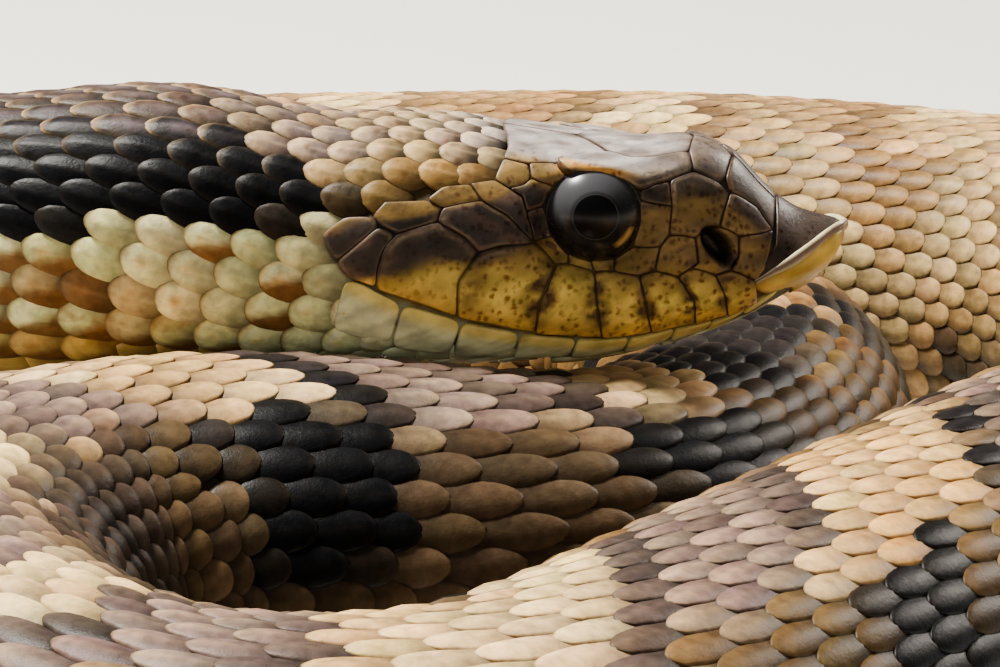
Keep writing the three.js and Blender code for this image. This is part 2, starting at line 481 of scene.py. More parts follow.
@dataclass
class Markings:
    """Where each colour lies, on the skin and on the scales alike.

    Everywhere below, s is the distance along the body, v the place round it, q the distance
    down from the middle of the back, and d the same as a share of the way to the belly.
    """

    shape: BodyShape
    palette: Palette = field(default_factory=Palette)
    neck_end: float = 95.0
    # saddles along the back: middle, half length
    saddles: Table = listed(
        (107, 8), (131, 8), (155, 9), (180, 8), (204, 8), (228, 9), (252, 8), (277, 7), (302, 8),
        (326, 8), (355.5, 7.5), (388, 8.5), (417.5, 6.5), (438, 6), (461, 6), (488, 9), (515, 9.5),
        (541, 7), (562, 7.5), (583, 7), (603, 6.5), (622, 6), (640, 5.5), (657, 5), (673, 4.5),
        (688, 4), (702, 3.5), (715, 3), (727, 2.5),
    )
    # slant of the saddles: place, lag from one side to the other
    slants: Table = listed(
        (0, 0), (340, 0), (362, 100), (395, 90), (412, 0), (438, 0), (450, -70), (485, -70), (494, 0),
    )
    # stretches with a look of their own: where each sets in and where it dies out. On lit the
    # black marks are paled as painted light and the flank greyed as painted shade; on shaded the
    # flank is greyed as painted shade; on dusky the saddles are blackened, partly their own dark
    # colour and partly a painted shadow of the head; on dim the colours are darkened as painted shade
    plain: Stretch = (205, 215, 296, 320)
    dusky: Stretch = (498, 508, 526, 536)
    sunny: Stretch = (312, 335, 378, 398)
    lit: Stretch = (422, 430, 464, 474)
    shaded: Stretch = (466, 474, 498, 506)
    dim: Stretch = (498, 512, 552, 572)
    # line of the mouth: distance from the snout tip, distance down the side
    mouth_line: Table = listed(
        (3.3, 5.8), (5.5, 9.4), (6.8, 11.8), (8.7, 13.5), (11.2, 14.5), (14, 15.2), (18, 15.5),
        (22, 15.2), (26.7, 13.8), (29, 12.4),
    )

    def saddle(self, s: Array, wander: Array) -> tuple[Array, Array, Array]:
        """Say where s lies among the saddles.

        Args:
            s: Distance along the body.
            wander: How far each place is shifted, to make edges uneven.

        Returns:
            Share inside a saddle, share on its dark rim, share in the blotch between two.
        """
        inside = np.zeros(np.shape(s))
        rim = np.zeros(np.shape(s))
        for middle, half in self.saddles:
            off = np.abs(s + wander - middle) - half
            inside = np.maximum(inside, 1 - smooth(-0.5, 0.5, off))
            rim = np.maximum(rim, (1 - smooth(-0.4, 0.4, off)) * smooth(-3.6, -1.4, off))
        gaps = np.zeros(np.shape(s))
        for (a, a_half), (b, b_half) in zip(self.saddles, self.saddles[1:]):
            middle = (a + a_half + b - b_half) / 2
            gaps = np.maximum(gaps, 1 - smooth(3.2, 5.0, np.abs(s - wander - middle)))
        return inside, rim, gaps

    def ground(self, s: Array, v: Array, d: Array, ragged: Array) -> Array:
        """Work out the colour between the saddles: sand above, yellow below, and on the flank the
        animal's own mid-brown, darkened to olive as painted shade and darker still where the coil
        lies in shade.

        Args:
            s: Distance along the body.
            v: Place round it.
            d: Share of the way from back to belly.
            ragged: The same with an uneven edge.

        Returns:
            Display colours.
        """
        p = self.palette
        base = mix(p.sand, p.tan, smooth(-0.6, 0.8, ripple(s, v, 9, 8)))
        gold = within(s, self.sunny) * (0.42 + 0.33 * smooth(-0.5, 0.6, ripple(s, v, 6, 58)))
        base = mix(base, p.honey, gold)
        # the flank: the animal's own mid-brown, darkened to olive as painted shade
        flank = mix(p.olive, p.tan, smooth(0.3, 1.0, ripple(s, v, 4, 18)) * 0.3)
        # painted shade: the flank greyed on the lit and shaded stretches
        smoky = np.maximum(within(s, self.lit) * 0.8, within(s, self.shaded) * 0.5)
        flank = mix(flank, p.saddle * 0.5, smoky)
        base = mix(base, flank, smooth(0.13, 0.21, ragged) * (0.96 - 0.5 * within(s, self.plain)))
        base = mix(base, p.belly, smooth(0.64, 0.76, d))
        # painted shade: darker, earthier colours on the dim stretch under the head
        dim_painted_shade = within(s, self.dim) * (0.35 + 0.4 * smooth(-0.3, 0.6, ripple(s, v, 5, 38)))
        return mix(base, mix(p.olive, p.umber, 0.6), dim_painted_shade)

    def body(self, s: Array, v: Array) -> Array:
        """Work out the body's colour.

        Args:
            s: Distance along the body.
            v: Place round it.

        Returns:
            Display colours.
        """
        p = self.palette
        aside = 0.5 - np.mod(v, 1.0)
        d = np.abs(aside) * 2
        uneven = ripple(s, v, 5, 3) * 0.9 + ripple(s, v, 2.6, 5) * 0.5
        slant = np.interp(s, *zip(*self.slants)) * np.clip(aside, -0.12, 0.12)
        inside, rim, gaps = self.saddle(s - slant, uneven)
        ragged = d + uneven * 0.03
        plain, lit = within(s, self.plain), within(s, self.lit)
        low_edge = 1 - smooth(0.13, 0.19, ragged)
        base = self.ground(s, v, d, ragged)
        grey = mix(p.saddle, p.dark, smooth(0.1, 0.9, ripple(s, v, 4, 28)) * 0.4)
        # partly painted shadow: the saddles on the dusky stretch under the head are blackened, dark in
        # their own right and shaded there
        grey = mix(grey, p.black, within(s, self.dusky) * 0.8)
        grey = mix(grey, p.umber, plain * 0.75)
        base = mix(base, grey, inside * low_edge * (0.95 - 0.30 * plain))
        sharp = 0.35 + 0.5 * smooth(468, 476, s) + 0.5 * (1 - smooth(366, 374, s - slant))
        # painted light: on the lit stretch the black rims and blotches are paled
        base = mix(base, p.black, rim * low_edge * np.clip(sharp - 0.6 * plain - 0.3 * lit, 0, 0.85))
        blotch = gaps * smooth(0.13, 0.18, ragged) * (1 - smooth(0.36, 0.43, ragged))
        blotch = blotch * (0.96 - 0.5 * plain) * (1 - 0.85 * lit)
        base = mix(base, mix(p.black, p.umber, plain), blotch)
        low = inside * (1 - gaps) * smooth(0.50, 0.54, ragged) * (1 - smooth(0.66, 0.70, ragged))
        base = mix(base, p.dark, low * (1 - rim) * 0.8)
        flecks = smooth(0.4, 0.8, ripple(s, v, 4.0, 21)) * smooth(0.76, 0.8, d)
        base = mix(base, p.dark, flecks * 0.5)
        return mix(base, self.neck(s, v), 1 - smooth(self.neck_end - 8, self.neck_end + 2, s))

    def neck(self, s: Array, v: Array) -> Array:
        """Work out the neck's colour: a long black patch over a pale, umber-flecked side.

        Args:
            s: Distance along the body.
            v: Place round it.

        Returns:
            Display colours.
        """
        p = self.palette
        q = self.shape.down(s, v)
        uneven = ripple(s, v, 5, 12) * 0.7
        pale = mix(p.crown, p.tan, 0.5 + 0.5 * smooth(-0.4, 0.8, ripple(s, v, 6, 31)))
        top = mix(pale, p.nape, smooth(28, 41, s + uneven * 4) * 0.92)
        low = mix(p.cream, p.olive, smooth(0.7, 1.2, ripple(s, v, 6.5, 41)) * 0.35)
        low = mix(low, p.belly, smooth(17.5, 20.0, q))
        stripe = np.exp(-(((q - 15.6 - uneven) / 1.3) ** 2)) * smooth(34, 42, s)
        stripe = stripe * smooth(-0.5, 0.4, ripple(s, v, 7, 61))
        low = mix(low, p.umber, stripe * 0.85)
        upper_edge = along([(26, 8.2), (32, 5.8), (40, 4.4), (50, 3.4), (80, 3.8), (95, 7)], s) + uneven
        lower_edge = along([(26, 8.8), (32, 10.4), (40, 11.6), (50, 12.6), (80, 13.2), (95, 12)], s)
        color = mix(top, low, smooth(-0.6, 0.6, q - lower_edge))
        patch = smooth(-0.5, 0.5, q - upper_edge) * (1 - smooth(-0.4, 0.4, q - lower_edge - uneven * 0.3))
        return mix(color, p.black, patch * 0.98)

    def rust(self, s: Array, v: Array) -> Array:
        """Say how strongly rusty patches may show.

        Args:
            s: Distance along the body.
            v: Place round it.

        Returns:
            Shares from 0 to 1.
        """
        q = self.shape.down(s, v)
        belly = smooth(0.70, 0.78, np.abs(np.mod(v, 1.0) - 0.5) * 2) * smooth(88, 98, s) * 0.6
        return np.maximum(belly, smooth(16.5, 18.0, q) * smooth(30, 36, s) * (1 - smooth(88, 98, s)) * 0.5)

    def head(self, s: Array, v: Array) -> Array:
        """Work out the head's colour: smoky crown, ochre cheek and yellow lip.

        Args:
            s: Distance along the body.
            v: Place round it.

        Returns:
            Display colours.
        """
        p = self.palette
        q = self.shape.down(s, v)
        uneven = ripple(s, v, 3.0, 51) * 0.35
        color = mix(p.snout, p.crown, smooth(6, 13, s + uneven * 3))
        color = mix(color, p.ochre, smooth(4.0, 5.6, q + uneven))
        lip_top = along([(3, 6.5), (7, 8.8), (12, 10.4), (18, 10.6), (24, 11.2), (30, 12.2)], s)
        mouth = self.mouth(s)
        color = mix(color, p.lip, smooth(-0.7, 1.6, q - lip_top + uneven * 0.5))
        top_of_lip = np.exp(-(((q - lip_top - 0.4) / 0.8) ** 2))
        color = mix(color, p.ochre, top_of_lip * smooth(6, 8, s) * 0.45)
        color = mix(color, p.amber, smooth(-2.0, -0.2, q - mouth) * 0.6)
        color = mix(color, p.chin, smooth(0.0, 0.25, q - mouth) * smooth(3.2, 3.6, s))
        color = mix(color, p.tan, smooth(19, 26, s) * (1 - smooth(4.5, 7.5, q)) * 0.6)
        brow = np.exp(-(((q - 4.85) / 0.26) ** 2)) * within(s, (12.6, 14.2, 17.2, 18.0))
        color = mix(color, mix(p.amber, p.spot, 0.4), brow * 0.95)
        middle = along([(16, 7.8), (19, 8.5), (22, 10.0), (26, 11.2), (30, 11.8)], s)
        width = along([(16, 1.3), (19, 1.7), (23, 1.5), (27, 1.7), (30, 1.8)], s)
        behind = 1 - smooth(-0.3, 0.3, np.abs(q - middle) - width + uneven * 0.9)
        smoky = mix(p.stripe, p.bruise, smooth(0.0, 1.0, ripple(s, v, 1.6, 91)) * 0.5)
        color = mix(color, smoky, behind * smooth(16.5, 17.3, s) * 0.95)
        bar = along([(6, 3.6), (9, 4.5), (12.5, 6.0)], s)
        ahead = 1 - smooth(-0.2, 0.5, np.abs(q - bar) - 0.9 + uneven * 0.4)
        return mix(color, smoky * 0.7, ahead * within(s, (7.2, 8.6, 12.4, 12.9)) * 0.85)

    def mouth(self, s: Array) -> Array:
        """Return how far down the side the mouth's line runs."""
        return along(self.mouth_line, s)

    def skin(self, s: Array, v: Array) -> Array:
        """Return the skin's colour: the markings, darker between the scales."""
        share = smooth(27, 31, s)
        return mix(self.head(s, v), self.body(s, v), share) * 0.5


# ---- meshes ----


def dress(mesh: Mesh, colors: Array, speckle: Array, rust: Array) -> None:
    """Give a mesh its colours, point by point.

    Args:
        mesh: The mesh.
        colors: Display colours.
        speckle: How strongly speckles show.
        rust: How strongly rusty patches show.
    """
    rgba = np.ones((len(colors), 4))
    rgba[:, :3] = linear(colors)
    layer = mesh.color_attributes.new("markings", "FLOAT_COLOR", "POINT")
    layer.data.foreach_set("color", rgba.ravel().astype(np.float32))
    for name, share in (("speckle", speckle), ("rust", rust)):
        dots = mesh.attributes.new(name, "FLOAT", "POINT")
        dots.data.foreach_set("value", np.asarray(share, np.float32).ravel())


def unwrap(mesh: Mesh, places: Array) -> None:
    """Give a mesh its bake map.

    Args:
        mesh: The mesh.
        places: Where each of its points lies on the map.
    """
    corner = np.empty(len(mesh.loops), np.int32)
    mesh.loops.foreach_get("vertex_index", corner)
    layer = mesh.uv_layers.new(name="OFBake")
    layer.data.foreach_set("uv", places[corner].astype(np.float32).ravel())


def show(mesh: Mesh, name: str, finish: Material) -> Piece:
    """Link a finished mesh as a piece of the body.

    Args:
        mesh: The piece's mesh, in metres.
        name: The piece's name.
        finish: Its material.

    Returns:
        The new object.
    """
    mesh.materials.append(finish)
    mesh.polygons.foreach_set("use_smooth", np.ones(len(mesh.polygons), bool))
    piece = bpy.data.objects.new(name, mesh)
    bpy.context.scene.collection.objects.link(piece)
    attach(piece, "root")
    LOG.info("%s: %d faces", name, len(mesh.polygons))
    return piece


def lines(count: int, pull: float) -> tuple[float, ...]:
    """Return grid lines from -1 to 1 in count steps, drawn towards the ends by pull."""
    even = np.linspace(-1, 1, count + 1)
    return tuple(np.sign(even) * (1 - (1 - np.abs(even)) ** pull))


@dataclass
class Tile:
    """A small closed form on its own square, to be laid on the body many times."""

    lengths: tuple[float, ...]
    widths: tuple[float, ...]
    square: float

    def __post_init__(self) -> None:
        """Build the form with a rounded outline, a domed top, a rim wall and a base."""
        bm = bmesh.new()
        long, wide = len(self.lengths), len(self.widths)
        bmesh.ops.create_grid(bm, x_segments=long - 1, y_segments=wide - 1, size=1.0)
        base = bm.faces[:]
        grown = bmesh.ops.extrude_face_region(bm, geom=base)["geom"]
        lifted = [item for item in grown if isinstance(item, bmesh.types.BMVert)]
        bmesh.ops.translate(bm, verts=lifted, vec=(0, 0, 1))
        bmesh.ops.dissolve_faces(bm, faces=[f for f in base if f.is_valid], use_verts=True)
        bmesh.ops.recalc_face_normals(bm, faces=bm.faces)
        bm.verts.index_update()
        place = np.array([v.co[:] for v in bm.verts])
        x = np.interp(place[:, 0], np.linspace(-1, 1, long), self.lengths)
        y = np.interp(place[:, 1], np.linspace(-1, 1, wide), self.widths)
        self.top = place[:, 2] > 0.5
        self.rim = np.maximum(np.abs(x), np.abs(y))
        self.u = x * np.sqrt(1 - self.square * y * y / 2)
        self.w = y * np.sqrt(1 - self.square * x * x / 2)
        self.loops = np.array([v.index for f in bm.faces for v in f.verts])
        self.sizes = np.array([len(f.verts) for f in bm.faces])
        bm.free()

    def repeat(self, name: str, points: Array) -> Mesh:
        """Return one mesh that holds a copy of the form for each row of points.

        Args:
            name: The mesh's name.
            points: Copies by points by 3, in metres.

        Returns:
            The joined mesh.
        """
        count, each = points.shape[:2]
        loops = (self.loops[None] + np.arange(count)[:, None] * each).ravel()
        starts = np.concatenate([[0], np.cumsum(np.tile(self.sizes, count))[:-1]])
        mesh = bpy.data.meshes.new(name)
        mesh.vertices.add(count * each)
        mesh.vertices.foreach_set("co", points.astype(np.float32).ravel())
        mesh.loops.add(len(loops))
        mesh.loops.foreach_set("vertex_index", loops.astype(np.int32))
        mesh.polygons.add(len(starts))
        mesh.polygons.foreach_set("loop_start", starts.astype(np.int32))
        mesh.update(calc_edges=True)
        mesh.validate()
        return mesh


def patches(s: Array, v: Array, tile: Tile) -> Array:
    """Give each copy of a tile its own small patch of the bake map.

    Args:
        s: Each copy's place along the map, as a column.
        v: Its place across the map, as a column.
        tile: The copies' form.

    Returns:
        Places on the map for all the points of all copies.
    """
    flat = np.stack([s + PATCH * tile.u[None], v + PATCH * tile.w[None]], -1)
    return flat.reshape(-1, 2)


@dataclass
class Cover:
    """What every cover of the flesh is made from."""

    shape: BodyShape
    markings: Markings
    finish: Material


@dataclass
class Skin(Cover):
    """The one skin from snout to tail, under all the scales."""

    depth: float = 0.45
    plate_depth: float = 0.17
    # where the head's plates end, by distance down from the middle of the crown
    plates_end: Table = listed(
        (0, 20.6), (5.0, 20.6), (6.6, 21.3), (7.3, 23.4), (8.4, 25.4), (8.9, 27.6),
        (9.6, 29.4), (10.4, 30.2), (12, 29.4), (13, 28.4), (14, 28.0), (16, 27.4), (18, 18), (30, 17),
    )
    around: int = 120
    head_step: float = 0.25
    body_step: float = 1.3

    def build(self) -> Piece:
        """Make the skin, which stands for every node of flesh.

        Returns:
            The piece.
        """
        ends = self.shape.length
        head = np.arange(0.04, self.shape.head_length, self.head_step)
        stations = np.concatenate([head, np.arange(self.shape.head_length, ends - 2, self.body_step),
                                   ends - 2 + np.array([0.4, 0.9, 1.4, 1.75, 1.93])])
        mesh, row, turn = self._sheet(len(stations))
        s, v = stations[row], turn
        plated = 1 - smooth(-2.2, -0.9, s - np.interp(self.shape.down(s, v), *zip(*self.plates_end)))
        depth = np.minimum(self.depth, self.shape.girth(s) * 0.2) * smooth(-1.5, 1.0, s)
        depth = depth * (1 - plated) + self.plate_depth * plated
        depth = depth + self.mouth_groove(s, v) + HeadPlates.nostril(s, (0.5 - v) * 2 * self.shape.half(s))
        points = self.shape.lay(s, v, -depth, floor=0.3)
        mesh.vertices.foreach_set("co", self.shape.place(points).astype(np.float32).ravel())
        unwrap(mesh, np.stack([0.005 + 0.99 * s / ends, 0.005 + 0.99 * v], -1))
        dress(mesh, self.markings.skin(s, v), s * 0, self.markings.rust(s, v))
        self._close(mesh)
        piece = show(mesh, "skin", self.finish)
        flesh = [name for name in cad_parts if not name.startswith("eye_")]
        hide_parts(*flesh)
        return piece

    def mouth_groove(self, s: Array, v: Array) -> Array:
        """Return how much deeper the skin lies along the closed mouth."""
        off = self.shape.down(s, v) - self.markings.mouth(s)
        return 0.3 * np.exp(-((off / 0.35) ** 2)) * smooth(3.2, 4.0, s) * (1 - smooth(27.5, 29, s))

    def _sheet(self, rows: int) -> tuple[Mesh, Array, Array]:
        """Make a flat sheet for the skin.

        Args:
            rows: Stations along the body.

        Returns:
            The sheet's mesh, and each point's station and place round the body.
        """
        bm = bmesh.new()
        bmesh.ops.create_grid(bm, x_segments=rows - 1, y_segments=self.around, size=1.0)
        mesh = bpy.data.meshes.new("skin")
        bm.to_mesh(mesh)
        bm.free()
        flat = np.empty(len(mesh.vertices) * 3)
        mesh.vertices.foreach_get("co", flat)
        flat = flat.reshape(-1, 3)
        row = np.rint((flat[:, 0] + 1) / 2 * (rows - 1)).astype(int)
        return mesh, row, np.rint((flat[:, 1] + 1) / 2 * self.around) / self.around

    @staticmethod
    def _close(mesh: Mesh) -> None:
        """Join the sheet's two long edges and close its ends.

        Args:
            mesh: The skin's mesh.
        """
        bm = bmesh.new()
        bm.from_mesh(mesh)
        bmesh.ops.remove_doubles(bm, verts=bm.verts, dist=1e-6)
        open_edges = [edge for edge in bm.edges if edge.is_boundary]
        bmesh.ops.holes_fill(bm, edges=open_edges, sides=0)
        bmesh.ops.recalc_face_normals(bm, faces=bm.faces)
        bm.to_mesh(mesh)
        bm.free()


@dataclass
class ScaleRows(Cover):
    """The keeled scales of the back and sides, laid in slanting rows."""

    rows: int = 33
    belly_edge: float = 0.14
    fine: Tile = field(default_factory=lambda: Tile(
        (-1, -0.6, -0.2, 0.15, 0.45, 0.7, 0.88, 0.97, 1),
        (-1, -0.86, -0.5, -0.16, 0, 0.16, 0.5, 0.86, 1), 0.94))
    plain: Tile = field(default_factory=lambda: Tile(
        (-1, -0.45, 0.1, 0.5, 0.8, 0.94, 1), (-1, -0.74, -0.36, 0, 0.36, 0.74, 1), 0.94))
    # distance from the snout tip: length of one step of the rows
    pitches: Table = listed(
        (15, 1.9), (28, 2.05), (34, 2.4), (42, 2.85), (50, 3.1), (100, 3.2), (200, 3.3), (400, 3.3),
        (440, 3.0), (500, 2.8), (618, 2.9), (680, 2.3), (739, 1.5),
    )
    # row counted from the belly: where it and its mate begin and run out
    spans: dict[int, tuple[float, float]] = field(default_factory=lambda: {
        4: (105, 560), 6: (125, 520), 8: (150, 480), 10: (180, 455), 12: (215, 430), 3: (0, 632),
        11: (0, 645), 5: (0, 657), 2: (0, 668), 13: (0, 680), 7: (0, 692), 14: (0, 704), 1: (0, 714),
    })
    # broad rows at the belly: share of a common row's width
    broad: tuple[float, ...] = (1.5, 1.38, 1.26, 1.14)
    # share of a step by which each row from the belly lags behind the one below
    lags: tuple[float, ...] = (0.12, 0.2, 0.3, 0.38, 0.44)
    fan: float = 0.17
    # half length and half width of a scale, as shares of its step and of its row's width
    long_share: float = 0.80
    wide_share: float = 0.72
    # where each piece starts, and how far the finely made scales reach
    cuts: tuple[float, ...] = (15, 62, 105, 160, 215, 270, 325, 380, 435, 490, 545, 600, 660)
    fine_end: float = 110
    # how far back the first scale lies, by distance down from the middle of the back
    first: Table = listed(
        (0, 20.2), (3.8, 20.1), (5.0, 20.3), (6.6, 20.9), (7.3, 22.8), (8.4, 24.8), (8.9, 26.9),
        (9.6, 28.7), (10.4, 29.5), (12, 28.8), (13, 28.0), (14, 27.7), (16, 26.8), (18, 25.5), (20, 24.5),
    )

    def __post_init__(self) -> None:
        """Count the scales along the body."""
        self.grid = np.arange(15.0, self.shape.length, 0.25)
        self.count = np.cumsum(0.25 / along(self.pitches, self.grid))

    def present(self, s: Array) -> Array:
        """Say how much of each row there is.

        Args:
            s: Distance along the body.

        Returns:
            Shares from 0 to 1, row by place.
        """
        rows = np.ones((self.rows, len(s)))
        for row, (begin, end) in self.spans.items():
            share = 1 - smooth(end - 12, end, s)
            if begin:
                share = within(s, (begin, begin + 18, end - 14, end))
            rows[row] = rows[self.rows - 1 - row] = share
        return rows

    def lattice(self) -> Part:
        """Set out every scale of the back and sides.

        Returns:
            By name: place along and round the body, half length, half width, and how far it is sunk.
        """
        found = {"s": [], "v": [], "long": [], "wide": [], "drop": []}
        width = np.ones(self.rows)
        for row, share in enumerate(self.broad):
            width[row] = width[self.rows - 1 - row] = share
        there = self.present(self.grid)
        share = there * width[:, None]
        total = share.sum(0)
        span = 1 - 2 * self.belly_edge
        girth = 2 * self.shape.half(self.grid)
        pitch = along(self.pitches, self.grid)
        lag = np.full(self.rows, 0.5)
        lag[: len(self.lags)] = self.lags
        lag = np.concatenate([[0], np.cumsum(lag[: self.rows // 2])])
        fan = 1 + self.fan * (1 - smooth(30, 54, self.grid))
        for row in range(self.rows):
            rank = min(row, self.rows - 1 - row)
            absent = rank - there[:rank].sum(0)
            phase = self.count + lag[rank] - 0.5 * absent
            turns = np.arange(math.ceil(phase[0]), phase[-1], 1.0)
            s = np.interp(turns, phase, self.grid)
            s = s[s < self.shape.length - 1.2]
            place = self.belly_edge + span * (share[:row].sum(0) + share[row] / 2) / total
            v = np.interp(s, self.grid, 0.5 + (place - 0.5) * fan)
            gap = np.interp(s, self.grid, span * share[row] / total * girth * fan)
            start = np.interp(self.shape.down(s, v), *zip(*self.first))
            keep = (s > start) & (np.interp(s, self.grid, there[row]) > 0.45)
            keep &= np.minimum(v, 1 - v) > self.belly_edge - 0.004
            found["s"].append(s[keep])
            found["v"].append(v[keep])
            found["long"].append(np.interp(s, self.grid, pitch)[keep] * self.long_share)
            found["wide"].append(gap[keep] * self.wide_share)
            found["drop"].append(0.14 * (1 - smooth(0.3, 2.6, s - start))[keep])
        return {key: np.concatenate(parts) for key, parts in found.items()}

    def turn(self, s: Array, v: Array) -> Array:
        """Return how far a scale's front end is turned down, which is most low on the neck."""
        low = smooth(2.0, 13.0, self.shape.down(s, v)) * (1 - smooth(70, 125, s))
        return (0.04 + 0.36 * low) * np.sign(0.5 - v)

    def heights(self, tile: Tile, size: Array) -> Array:
        """Work out how high a scale's points lie over the solids.

        Args:
            tile: The form of one scale.
            size: Each scale's size.

        Returns:
            Heights, scale by point.
        """
        t = (tile.u + 1) / 2
        slope = -0.44 + 0.42 * t**0.85
        keel = np.exp(-((tile.w / 0.15) ** 2)) * smooth(0.1, 0.3, t) * (1 - smooth(0.85, 1.0, t))
        dome = (1 - np.abs(tile.w) ** 2.2) * (1 - 0.8 * smooth(0.7, 1.0, t))
        crest = slope + 0.21 * dome + 0.04 * keel - 0.06 * smooth(0.9, 1.0, tile.rim)
        height = np.where(tile.top, crest, slope - 0.26)
        return height[None] * size[:, None]

    def build(self) -> list[Piece]:
        """Make the scales, one piece for each length of the body.

        Returns:
            The pieces.
        """
        lattice = self.lattice()
        cuts = [*self.cuts, self.shape.length]
        pieces = []
        for number, (low, high) in enumerate(zip(cuts, cuts[1:])):
            keep = (lattice["s"] >= low) & (lattice["s"] < high)
            part = {key: values[keep] for key, values in lattice.items()}
            tile = self.fine if high < self.fine_end else self.plain
            pieces.append(self.piece(f"scales_{number + 1}", part, tile, (low, high)))
        return pieces

    def piece(self, name: str, part: Part, tile: Tile, span: tuple[float, float]) -> Piece:
        """Make one length of scales.

        Args:
            name: The piece's name.
            part: Places and sizes of its scales.
            tile: The form of one scale.
            span: Where the length starts and ends.

        Returns:
            The piece.
        """
        rng = np.random.default_rng(int(span[0]) + 7)
        s0, v0 = part["s"][:, None], part["v"][:, None]
        count = len(part["s"])
        taper = 1 - 0.16 * smooth(0.0, 1.0, tile.u) - 0.30 * smooth(0.2, 1.0, -tile.u)
        back = part["long"][:, None] * tile.u[None]
        aside = part["wide"][:, None] * (tile.w * taper)[None]
        turn = self.turn(s0, v0)
        s = s0 + back * np.cos(turn) + aside * np.sin(turn)
        around = aside * np.cos(turn) - back * np.sin(turn)
        v = v0 - around / (2 * self.shape.half(s0))
        size = np.clip(part["wide"] / 1.08, 0.35, 1.2) * rng.uniform(0.95, 1.03, count)
        lean = np.clip((np.abs(v0 - 0.5) * 2 - 0.35) / 0.2, 0, 1) * np.sign(0.5 - v0)
        height = self.heights(tile, size) + 0.09 * lean * (tile.w * taper)[None] - part["drop"][:, None]
        points = self.shape.lay(s, v, height, floor=0.02)
        mesh = tile.repeat(name, self.shape.place(points))
        unwrap(mesh, patches((s0 - span[0] + 3) / (span[1] - span[0] + 6), v0, tile))
        rust = self.markings.rust(part["s"], part["v"])
        high = 1 - smooth(8, 11, self.shape.down(part["s"], part["v"]))
        freckled = 0.10 + 0.45 * high * (1 - smooth(34, 60, part["s"]))
        each = len(tile.u)
        colors = self.colors(part, tile, rng).reshape(-1, 3)
        dress(mesh, colors, np.repeat(freckled, each), np.repeat(rust, each))
        return show(mesh, name, self.finish)

    def colors(self, part: Part, tile: Tile, rng: Random) -> Array:
        """Work out the colours of a length of scales.

        Args:
            part: Places and sizes of its scales.
            tile: The form of one scale.
            rng: Source of the small differences between scales.

        Returns:
            Display colours, scale by point.
        """
        s, v = part["s"], part["v"]
        whole = mix(self.markings.head(s, v), self.markings.body(s, v), smooth(25, 31, s))
        whole = whole * rng.uniform(0.84, 1.12, (len(s), 1)) * rng.uniform(0.97, 1.03, (len(s), 3))
        down = self.shape.down(s, v)
        near = 1 - smooth(88, 100, s)
        light = smooth(0.16, 0.5, whole.mean(1))
        zones = {
            "down": down, "near": near, "light": light,
            "nape": near * (1 - smooth(5.5, 7.0, down)),
            "side": near * smooth(-0.2, 0.5, down - 8) * light,
            "smoky": smooth(25, 30, s),
            "low": tile.w[None] * np.sign(0.5 - v)[:, None],
        }
        part = part | zones
        return self.stain(self.horn(whole, part, tile, rng), part, tile, rng)

    def horn(self, whole: Array, part: Part, tile: Tile, rng: Random) -> Array:
        """Darken each scale at its root, partly its own darker base and partly painted shade under
        the scale ahead; cloud those on the nape; and lighten tips and keels, partly their own
        paler horn and partly painted highlight, most on the top of the body.

        Args:
            whole: One colour for each scale.
            part: Places and zones of the scales.
            tile: The form of one scale.
            rng: Source of the small differences between scales.

        Returns:
            Display colours, scale by point.
        """
        p = self.markings.palette
        t = (tile.u + 1) / 2
        d = np.abs(part["v"] - 0.5) * 2
        nape = part["nape"][:, None]
        # darker root: partly the scale's own dark base, partly painted shade under the scale ahead
        deep = 0.60 + 0.46 * smooth(0.15, 0.8, t)[None] - 0.34 * nape * (1 - smooth(0.35, 0.8, t))[None]
        cloud = np.exp(-(((tile.u - 0.1) / 0.62) ** 2) - (tile.w / 0.55) ** 2)[None]
        cloud = cloud * rng.uniform(0.25, 1.0, (len(nape), 1))
        color = mix(whole[:, None] * deep[..., None], p.lilac, cloud * (nape * part["smoky"][:, None]))
        # tips and keels lightened: partly their own paler horn, partly painted highlight, strongest on the
        # top of the body
        bright = 0.010 + 0.30 * part["light"] * smooth(0.75, 0.3, d)
        tip = (smooth(0.55, 0.95, t) * (1 - 0.6 * tile.w**2))[None] * bright[:, None]
        glow = mix(p.sand, p.cream, part["side"])[:, None]
        keel = (np.exp(-((tile.w / 0.11) ** 2)) * smooth(0.15, 0.4, t))[None]
        line = 0.030 + 0.20 * part["light"] * smooth(0.75, 0.6, d)
        return mix(mix(color, glow, tip), glow, keel * line[:, None])

    def stain(self, color: Array, part: Part, tile: Tile, rng: Random) -> Array:
        """Stain the neck's pale side, colour the free edges, partly with a painted highlight, and paint
        shade on the walls and on the lower half of each nape scale.

        Args:
            color: Colours so far, scale by point.
            part: Places and zones of the scales.
            tile: The form of one scale.
            rng: Source of the small differences between scales.

        Returns:
            Display colours, scale by point.
        """
        p = self.markings.palette
        s, v, side = part["s"], part["v"], part["side"]
        count = len(s)
        spot = np.exp(-((tile.u - 0.35) ** 2 + (tile.w * 0.8) ** 2) / 0.022)[None]
        spot = spot * (rng.random((count, 1)) > 0.5) * side[:, None]
        color = mix(color, p.spot, spot * rng.uniform(0.2, 0.9, (count, 1)))
        wander = rng.uniform(-0.15, 0.4, (count, 1))
        lower = smooth(0.0, 0.4, part["low"] * 0.8 - (tile.u[None] - 0.35) * 0.7 - wander)
        often = 0.25 + 0.75 * smooth(-0.5, 0.5, ripple(s, v, 9, 44)) * smooth(36, 46, s)
        stained = rng.random(count) < often
        color = mix(color, p.umber, lower * (side * stained * 0.9)[:, None])
        near, light, nape = part["near"], part["light"], part["nape"]
        free = (smooth(0.80, 0.97, tile.rim) * smooth(0.1, 0.45, (tile.u + 1) / 2) * tile.top)[None]
        color = mix(color, p.umber, free * (side * 0.5)[:, None])
